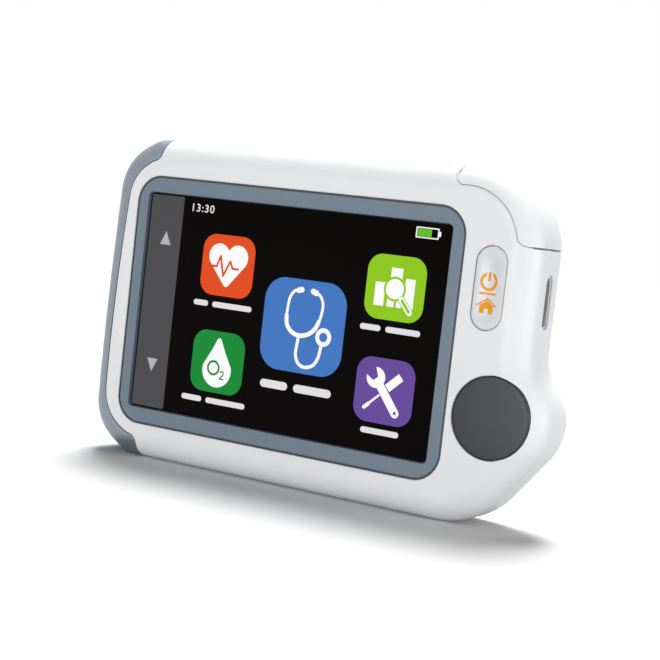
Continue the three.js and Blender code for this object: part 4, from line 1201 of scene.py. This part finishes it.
def soft_edged(solid):
    """Rounds the edges of a moulded soft part."""
    bevelled(solid, PAD_EDGE, 4)
    bpy.context.view_layer.update()
    depsgraph = bpy.context.evaluated_depsgraph_get()
    solid.data = bpy.data.meshes.new_from_object(solid.evaluated_get(depsgraph))
    solid.modifiers.clear()
    return solid


def node_box(node):
    """Lowest and highest corner of a CAD node, in millimetres."""
    return [[v / MM for v in corner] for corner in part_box(node)]


def window_hole(x, z, lean):
    """A round bar for a window's hole, leaning from straight up towards +X."""
    hole = bar(0, 0, WINDOW_RADIUS + WINDOW_GAP, -OVERRUN * 2, OVERRUN * 2)
    middle = Matrix.Translation((x, sum(PAD_DEPTH) / 2, z))
    hole.data.transform(middle @ Matrix.Rotation(lean, 4, "Y") @ Matrix.Rotation(QUARTER, 4, "X"))
    return hole


def cover_pad():
    outside = UPPER_RIGHT_RADIUS - COVER_WALL - SEAT_GAP
    outer = arc(CORNER_X, CORNER_Z, outside, PAD_FROM, PAD_TO)
    inner = arc(CORNER_X, CORNER_Z, outside - PAD_THICKNESS, PAD_TO, PAD_FROM)
    middle = (PAD_FROM + PAD_TO) / 2
    x, z = CORNER_X + outside * cos(middle), CORNER_Z + outside * sin(middle)
    return soft_edged(without(prism(outer + inner, *PAD_DEPTH), window_hole(x, z, QUARTER - middle)))


def base_pad():
    (left, _, low), (right, _, high) = node_box("base_pad")
    pad = box((left, right), PAD_DEPTH, (low, high))
    return soft_edged(without(pad, window_hole((left + right) / 2, low, 0)))


def foam_sheet(node, border=None):
    """A cut sheet of foam, a little pressed in at its edges; with a border it is a frame."""
    (left, front, low), (right, back, high) = node_box(node)
    x, z, width, height = (left + right) / 2, (low + high) / 2, right - left, high - low
    press = (back - front) * FOAM_PRESS
    rings = [(front, press), (front + press, 0), (back - press, 0), (back, press)]
    sheet = loft(rounded_rectangle(x, z, width, height, FOAM_CORNER), rings)
    if border:
        hole = rounded_rectangle(x, z, width - border * 2, height - border * 2, FOAM_CORNER)
        sheet = without(sheet, prism(hole, front - OVERRUN, back + OVERRUN))
    return sheet


def coil():
    """The torsion spring: a round wire wound along the hinge."""
    start = HINGE_TAB[0] + KNUCKLE_WIDTH + SPRING_WIRE
    end = HINGE_TAB[1] - KNUCKLE_WIDTH - SPRING_WIRE
    steps = SPRING_TURNS * SPRING_STEPS
    rings = []
    for i in range(steps + 1):
        a = tau * SPRING_TURNS * i / steps - QUARTER
        x, z = HINGE_X + SPRING_RADIUS * cos(a), HINGE_Z + SPRING_RADIUS * sin(a)
        middle = Vector((x, start + (end - start) * i / steps, z))
        outwards = Vector((cos(a), 0, sin(a)))
        turns = [tau * k / SPRING_SIDES for k in range(SPRING_SIDES)]
        along = Vector((0, 1, 0))
        rings.append([middle + (outwards * cos(b) + along * sin(b)) * SPRING_WIRE / 2 for b in turns])
    wire = tube(rings)
    wire.data.flip_normals()
    return wire


def contact_strips():
    """Gold strips on both faces of the connector's tongue."""
    (left, front, low), (right, back, high) = node_box("connector_tongue")
    pitch = (high - low) / (CONTACTS + 1)
    length = (left + CONTACT_ENDS[0], right - CONTACT_ENDS[1])
    half = pitch * CONTACT_SHARE
    return joined(*(
        box(length, (face - CONTACT_SKIN, face + CONTACT_SKIN), (z - half, z + half))
        for z in (low + pitch * (i + 1) for i in range(CONTACTS))
        for face in (front, back)
    ))


piece("pad_cover", cover_pad(), SILICONE_AND_SEAM_SHADE, "dark_silicone", "sensor_clip", ["cover_pad"])
piece("pad_base", base_pad(), SILICONE_AND_SEAM_SHADE, "dark_silicone", nodes=["base_pad"])
display_foam = foam_sheet("display_gasket", FOAM_BORDER)
piece("foam_display", display_foam, FOAM, "dark_foam", nodes=["display_gasket"])
piece("foam_battery", foam_sheet("battery_foam"), FOAM, "dark_foam", nodes=["battery_foam"])
piece("spring_hinge", coil(), SPRING, "spring_steel", nodes=["cover_spring"])
piece("contacts_port", contact_strips(), GOLD, "gold_contact")


# ---------------------------------------------------------------- screen

ART_STEP = 0.012
ART_SKIN = 0.02
INK_SKIN = 0.02
ROUND_END_FACETS = 20
JOINT_SHARE = 0.998
TILE_CORNER = 0.25
KEY_SIGN_SHIFT = 0.18

# The clock's font: its height as a share of its size, its spacing, weight and width
FIGURE_SHARE = 0.69
FIGURE_SPACING = 1.18
FIGURE_WEIGHT = 0.025
FIGURE_WIDTH = 1.02


class Artwork:
    """Flat signs on the glass, drawn about a centre and built as thin solids."""

    def __init__(self, x, z, layer=0):
        self.x, self.z = x, z
        self.front = GLASS_FRONT - ART_SKIN - ART_STEP * layer
        self.rear = GLASS_FRONT + ART_SKIN / 2
        self.solid = None

    def cutter(self, outline, margin=0.0):
        moved = [(self.x + x, self.z + z) for x, z in outline]
        return prism(moved, self.front - margin, self.rear + margin)

    def add(self, *outlines):
        for outline in outlines:
            shape = self.cutter(outline)
            self.solid = joined(self.solid, shape) if self.solid else shape
        return self

    def cut(self, *outlines):
        for outline in outlines:
            self.solid = without(self.solid, self.cutter(outline, ART_SKIN))
        return self

    def line(self, points, width, cutting=False):
        """A stroke with round ends and joints."""
        radius = width / 2
        shapes = [disc(*p, radius, ROUND_END_FACETS) for p in (points[0], points[-1])]
        for i, (a, b) in enumerate(zip(points, points[1:])):
            start, end = Vector(a), Vector(b)
            along = end - start
            side = Vector((-along.y, along.x)).normalized() * radius
            shapes.append([tuple(start - side), tuple(end - side), tuple(end + side), tuple(start + side)])
            if i:
                shapes.append(disc(*a, radius * JOINT_SHARE, ROUND_END_FACETS))
        return self.cut(*shapes) if cutting else self.add(*shapes)

    def ribbon(self, points, width):
        """A smooth stroke along a dense path, as one outline, with round ends."""
        radius = width / 2
        left_side, right_side = [], []
        for p, before, after in zip(points, points[:1] + points, points[1:] + points[-1:]):
            along = (Vector(after) - Vector(before)).normalized()
            side = Vector((-along.y, along.x)) * radius
            left_side.append(tuple(Vector(p) + side))
            right_side.append(tuple(Vector(p) - side))
        ends = (disc(*p, radius, ROUND_END_FACETS) for p in (points[0], points[-1]))
        return self.add(right_side + left_side[::-1], *ends)


def smooth_path(*knots, steps=10):
    """A Catmull-Rom curve through the knots."""
    points = [knots[0], *knots, knots[-1]]
    path = []
    for a, b, c, d in zip(points, points[1:], points[2:], points[3:]):
        weights = [
            (2 * q, r - p, 2 * p - 5 * q + 4 * r - s, 3 * q - p - 3 * r + s)
            for p, q, r, s in zip(a, b, c, d)
        ]
        for t in (step / steps for step in range(steps)):
            path.append(tuple(0.5 * (w + x * t + y * t ** 2 + z * t ** 3) for w, x, y, z in weights))
    return [*path, knots[-1]]


def rectangle(left, right, low, high):
    return [(left, low), (right, low), (right, high), (left, high)]


def sign(name, art, material, body="casing", slot="screen_glass"):
    return piece(name, art.solid, material, slot, body)


def icon(x, z):
    return Artwork(x, z, layer=1)


LIT_WHITE = lit("lit_white", 250, 250, 250)
LIT_TEXT = lit("lit_text", 224, 224, 226)
LIT_KEY_STRIP = lit("lit_key_strip", 78, 77, 79)
LIT_ARROW = lit("lit_arrow", 178, 178, 181)
LIT_CHARGE = lit("lit_charge", 98, 190, 40)

# The strip of touch keys at the left of the screen
STRIP_WIDTH = 6.9
STRIP_MARGIN = 0.22
strip = Artwork(SCREEN_X - GLASS_WIDTH / 2 + STRIP_MARGIN + STRIP_WIDTH / 2, SCREEN_Z)
strip.add(rounded_rectangle(0, 0, STRIP_WIDTH, GLASS_HEIGHT - STRIP_MARGIN * 2, 0.3))
sign("key_strip", strip, LIT_KEY_STRIP)
sign("arrow_up", icon(-29.95, 38.6).add([(1.15, -0.85), (0, 1.5), (-1.15, -0.85)]), LIT_ARROW)
sign("arrow_down", icon(-30.15, 17.0).add([(-1.1, 0.8), (0, -1.5), (1.1, 0.8)]), LIT_ARROW)

# Each tile's centre, width, height and colour
TILES = {
    "heart": (-16.35, 35.5, 10.7, 10.4, (226, 80, 34)),
    "drop": (-16.35, 19.05, 10.7, 10.5, (30, 139, 58)),
    "stethoscope": (-0.15, 27.3, 15.9, 15.4, (68, 120, 192)),
    "chart": (16.25, 35.6, 10.7, 10.4, (143, 200, 34)),
    "tools": (16.35, 19.05, 10.7, 10.5, (104, 76, 154)),
}
for tile, (x, z, width, height, levels) in TILES.items():
    art = Artwork(x, z)
    art.add(rounded_rectangle(0, 0, width, height, min(width, height) * TILE_CORNER))
    sign(f"tile_{tile}", art, lit(f"tile_{tile}", *levels))

heart, drop, scope, chart, tools = (icon(x, z) for x, z, *_ in TILES.values())

# A heart crossed by a pulse line
lobe, half_turn, low_turn = 2.12, radians(27.9), radians(222.2)
heart.add(without_repeats([
    *arc(1.87, 1.55, lobe, pi - low_turn, pi - half_turn),
    *arc(-1.87, 1.55, lobe, half_turn, low_turn),
    *arc(0, -2.95, 0.6, low_turn, 3 * pi - low_turn, radians(8)),
]))
pulse = [(-4.6, -0.3), (-2.25, -0.25), (-1.6, 1.55), (-0.75, -1.75), (0.45, 0.85), (1.05, -0.35)]
heart.line([*pulse, (2.2, -0.35)], 0.4, cutting=True)
sign("icon_heart", heart, LIT_WHITE)

# A drop with a ring and a small figure two
drop_turn = radians(24)
drop.add(without_repeats([
    *arc(0, -1.35, 2.95, -pi - drop_turn + pi / 18, drop_turn - pi / 18),
    (1.35, 1.95),
    (0.45, 3.75),
    *arc(0, 3.7, 0.42, radians(20), radians(160), radians(14)),
    (-0.45, 3.75),
    (-1.35, 1.95),
]))
drop.cut(disc(-0.72, -1.05, 1.32)).add(disc(-0.72, -1.05, 0.93))
two = [(0.78, -1.72), (0.9, -1.52), (1.14, -1.43), (1.4, -1.54), (1.47, -1.82), (1.3, -2.14), (0.76, -2.78)]
drop.line([*two, (1.52, -2.78)], 0.24, cutting=True)
sign("icon_drop", drop, LIT_WHITE)

# A stethoscope: the ear tubes, the yoke, the ear tips, the hose and the chest piece
scope.ribbon(smooth_path((-0.95, 5.95), (-2.2, 5.7), (-3.05, 4.5), (-3.3, 2.6), (-3.35, 1.4)), 0.5)
scope.ribbon(smooth_path((1.35, 5.85), (2.6, 5.5), (3.4, 4.2), (3.35, 2.5), (2.95, 1.0)), 0.5)
scope.ribbon(smooth_path(
    (-3.35, 1.5), (-3.1, 0.0), (-2.1, -1.1), (-0.6, -1.55), (1.0, -1.2), (2.3, -0.2), (2.95, 1.1),
), 0.74)
scope.ribbon([(-1.5, 5.85), (-0.9, 6.0)], 0.95)
scope.ribbon([(1.3, 5.95), (1.95, 5.75)], 0.95)
scope.ribbon(smooth_path(
    (-0.6, -1.6), (-0.75, -3.2), (-0.8, -4.8), (-0.1, -6.15),
    (1.3, -6.6), (2.8, -6.0), (3.6, -4.6), (3.9, -2.6),
), 0.56)
scope.add(disc(4.15, -1.25, 1.52)).cut(disc(4.15, -1.25, 0.78))
sign("icon_stethoscope", scope, LIT_WHITE)

# A block chart under a magnifying glass
chart.add(
    rectangle(-3.65, -1.85, -3.05, 0.7),
    rectangle(-1.25, 0.05, -3.05, 0.7),
    rectangle(-1.0, 1.1, 0.6, 3.2),
    rectangle(0.45, 1.35, -3.05, 0.7),
    rectangle(1.75, 3.5, -3.05, 1.7),
)
grip = [(1.35, -1.75), (2.95, -3.6)]
chart.cut(disc(-0.05, -0.15, 2.0)).line(grip, 1.25, cutting=True)
chart.add(disc(-0.05, -0.15, 1.62)).line(grip, 1.0)
chart.line([(1.45, -1.86), (2.85, -3.48)], 0.5, cutting=True)
sign("icon_chart", chart, LIT_WHITE)

# A wrench crossed by a screwdriver
wrench = [(-1.15, 1.2), (2.35, -3.25)]
tools.line([(-3.35, -3.0), (-2.6, -2.35)], 0.62).line([(-3.2, -2.85), (0.2, 0.2)], 0.36)
tools.add([(0.95, 0.05), (3.25, 2.15), (2.35, 3.15), (0.05, 1.05)]).line(wrench, 1.75, cutting=True)
tools.add(disc(-1.75, 2.0, 1.7)).line(wrench, 1.45)
tools.cut([(-1.35, 2.2), (-2.25, 4.8), (-4.4, 2.9), (-2.15, 1.5)], disc(2.3, -3.2, 0.27))
sign("icon_tools", tools, LIT_WHITE)

# Blank bars where a caption would stand: their height and thickness, and word lengths
CAPTIONS = {
    "heart": (28.75, 0.95, [(-22.6, -19.6), (-18.7, -10.6)]),
    "drop": (12.35, 0.95, [(-23.1, -18.9), (-18.0, -9.9)]),
    "stethoscope": (17.0, 1.35, [(-7.3, -1.9), (-0.7, 6.6)]),
    "chart": (28.9, 0.95, [(10.6, 14.4), (15.3, 21.6)]),
    "tools": (12.45, 0.95, [(12.8, 19.8)]),
}
for caption, (z, thickness, words) in CAPTIONS.items():
    bars = (pill((start + end) / 2, z, end - start, thickness) for start, end in words)
    sign(f"caption_{caption}", Artwork(0, 0).add(*bars), LIT_TEXT)


def figures(text, x, z, height):
    """Upright figures as thin solids, x and z being their lower left corner."""
    curve = bpy.data.curves.new("figures", "FONT")
    curve.body = text
    curve.size = height / FIGURE_SHARE
    curve.space_character = FIGURE_SPACING
    curve.offset = FIGURE_WEIGHT
    curve.extrude = ART_SKIN / 2
    writing = placed("figures", curve)
    bpy.context.view_layer.update()
    made = writing.evaluated_get(bpy.context.evaluated_depsgraph_get())
    mesh = bpy.data.meshes.new_from_object(made)
    bpy.data.objects.remove(writing)
    for v in mesh.vertices:
        v.co = (x + v.co.x * FIGURE_WIDTH, GLASS_FRONT - v.co.z, z + v.co.y)
    art = Artwork(0, 0)
    art.solid = placed("figures", mesh)
    return art


sign("clock_figures", figures("13:30", -25.25, 44.1, 1.3), LIT_TEXT)

# Battery gauge
gauge = icon(20.95, 44.85)
gauge.add(rounded_rectangle(-0.1, 0, 4.1, 1.75, 0.15), rounded_rectangle(2.05, 0, 0.5, 0.8, 0.12))
gauge.cut(rounded_rectangle(-0.1, 0, 3.7, 1.35, 0.08))
sign("gauge_frame", gauge, LIT_WHITE)
sign("gauge_charge", icon(20.95, 44.85).add(rounded_rectangle(-0.6, 0, 2.5, 1.15, 0.06)), LIT_CHARGE)


# Symbols printed on the home key: power, a divider and a house
def key_sign():
    art = Artwork(KEY_X - KEY_SIGN_SHIFT, KEY_Z)
    art.front, art.rear = KEY_FRONT - OVERRUN, KEY_FRONT + KEY_DISH + ART_SKIN
    return art


def print_on_key(name, art):
    """The symbol as a skin of ink that follows the key's dish."""
    skin = key_cap()
    for v in skin.data.vertices:
        v.co.y -= INK_SKIN
    kept(art.solid, skin)
    sign(name, art, ORANGE_INK, "home_key", "white_key")


power = key_sign().add(disc(0, 0.98, 1.45))
power.cut(disc(0, 0.98, 1.0), rectangle(-0.5, 0.5, 1.2, 2.9))
print_on_key("symbol_power", power.line([(0, 1.25), (0, 2.25)], 0.44))
print_on_key("symbol_divider", key_sign().line([(-1.2, -0.88), (1.2, -0.88)], 0.32))
house = key_sign().add([(-1.12, -3.95), (1.12, -3.95), (1.12, -2.75), (0, -1.95), (-1.12, -2.75)])
eaves = [(0, -1.86), (1.6, -2.95), (1.6, -2.72), (0, -1.62), (-1.6, -2.72), (-1.6, -2.95)]
house.cut(rectangle(-0.36, 0.36, -4.2, -3.2), eaves)
print_on_key("symbol_house", house.line([(-1.5, -2.72), (0, -1.68), (1.5, -2.72)], 0.28))


# ---------------------------------------------------------------- CAD parts that stay

# The material of each, and how wide its edges are bevelled
DRESSED = {
    "touch_glass": (GLASS, 0),
    "display_module": (FRAME_METAL, 0.15),
    "display_tray": (TRAY, 0.1),
    "display_flex": (AMBER, 0),
    "switch_plunger": (DARK, 0.1),
    "home_switch": (DARK, 0.12),
    "left_contact": (GOLD, 0.03),
    "right_contact": (GOLD, 0.03),
    "back_contact": (GOLD, 0.03),
    "cover_hinge_pin": (SPRING, 0.05),
    "emitter_window": (WINDOW, 0.08),
    "detector_window": (WINDOW, 0.08),
    "sensor_board": (BOARD, 0),
    "connector_shell": (PORT, 0.05),
    "connector_tongue": (DARK, 0.08),
    "main_board": (BOARD, 0),
    "shield_can": (TIN, 0.12),
    "processor_chip": (DARK, 0.06),
    "memory_chip": (DARK, 0.06),
    "battery": (FOIL, 0.12),
    "speaker": (DARK, 0.1),
    "label_plate": (LABEL, 0.05),
}
for name, (material, bevel) in DRESSED.items():
    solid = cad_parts[name]
    solid.data.materials.clear()
    solid.data.materials.append(material)
    if bevel:
        bevelled(solid, bevel * MM, 3).harden_normals = True


# ---------------------------------------------------------------- stage

# Places and directions here are in metres
LENS = 85.09
SENSOR_WIDTH = 36
FLOOR_WHITE = 0.85
FLOOR_BOUNCE = 0.25
WORLD_LIGHT = 0.2
KEY_LIGHT = 3.9
KEY_LIGHT_TURN = 27
KEY_LIGHT_SIZE = radians(22)


def aim(obj, target, up=Vector((0, 0, 1))):
    forward = (Vector(target) - obj.location).normalized()
    across = forward.cross(up).normalized()
    top = across.cross(forward)
    obj.rotation_euler = Matrix((across, top, -forward)).transposed().to_euler()


camera = placed("camera", bpy.data.cameras.new("camera"))
camera.data.sensor_width = SENSOR_WIDTH
camera.data.lens = LENS
camera.data.clip_start = 0.01
camera.data.clip_end = 10
camera.location = Vector((135.0, -223.2, 45.2)) * MM
view = Vector((-0.5118, 0.8562, -0.0700))
aim(camera, camera.location + view, Vector((-0.1315, 0.0024, 0.9913)))
bpy.context.scene.camera = camera


def seen_rays(tree):
    """One for what the camera sees, straight or in a glossy or clear surface, and zero for the rest."""
    path = add_node(tree, "LightPath").outputs
    seen = path["Is Camera Ray"]
    for kind in ("Is Glossy Ray", "Is Transmission Ray"):
        seen = add_node(tree, "Math", {0: seen, 1: path[kind]}, operation="MAXIMUM").outputs[0]
    return seen


def floor_finish():
    """A pale sheet with the object's shadow on it, a little darker to the light that it throws back."""
    material, tree = blank("floor")
    return finished(material, {
        "Base Color": tint(tree, seen_rays(tree), [FLOOR_BOUNCE] * 3, [FLOOR_WHITE] * 3),
        "Roughness": 0.9,
        "Specular IOR Level": 0,
    })


floor = mesh_object("floor", [(-2, -2, 0), (2, -2, 0), (2, 2, 0), (-2, 2, 0)], [(0, 1, 2, 3)])
floor.data.materials.append(floor_finish())

world = bpy.data.worlds.new("studio")
bpy.context.scene.world = world
world.use_nodes = True
studio = world.node_tree
studio.nodes.clear()
soft, white = (
    add_node(studio, "Background", {"Color": (1, 1, 1, 1), "Strength": strength}).outputs[0]
    for strength in (WORLD_LIGHT, 1)
)
mixed = add_node(studio, "MixShader", {0: seen_rays(studio), 1: soft, 2: white}).outputs[0]
add_node(studio, "OutputWorld", {"Surface": mixed})


def lamp(kind, name, power, place, target=(0, 0, 0)):
    obj = placed(name, bpy.data.lights.new(name, kind))
    obj.data.energy = power
    obj.location = place
    aim(obj, target)
    return obj.data


def softbox(name, power, place, target, width, height):
    light = lamp("AREA", name, power, place, target)
    light.shape = "RECTANGLE"
    light.size = width
    light.size_y = height


turn = radians(KEY_LIGHT_TURN)
for rise, share in ((58, 0.3), (67, 0.4), (76, 0.3)):
    level = cos(radians(rise))
    place = (-sin(turn) * level, cos(turn) * level, sin(radians(rise)))
    lamp("SUN", f"key_light_{rise}", KEY_LIGHT * share, place).angle = KEY_LIGHT_SIZE
softbox("front_light", 6.4, (0.03, -0.95, 0.025), (0, 0, 0.025), 0.36, 0.046)
softbox("side_light", 4.8, (0.9, 0.14, 0.12), (0, 0, 0.04), 0.4, 0.12)

bpy.context.scene.view_settings.view_transform = "Standard"
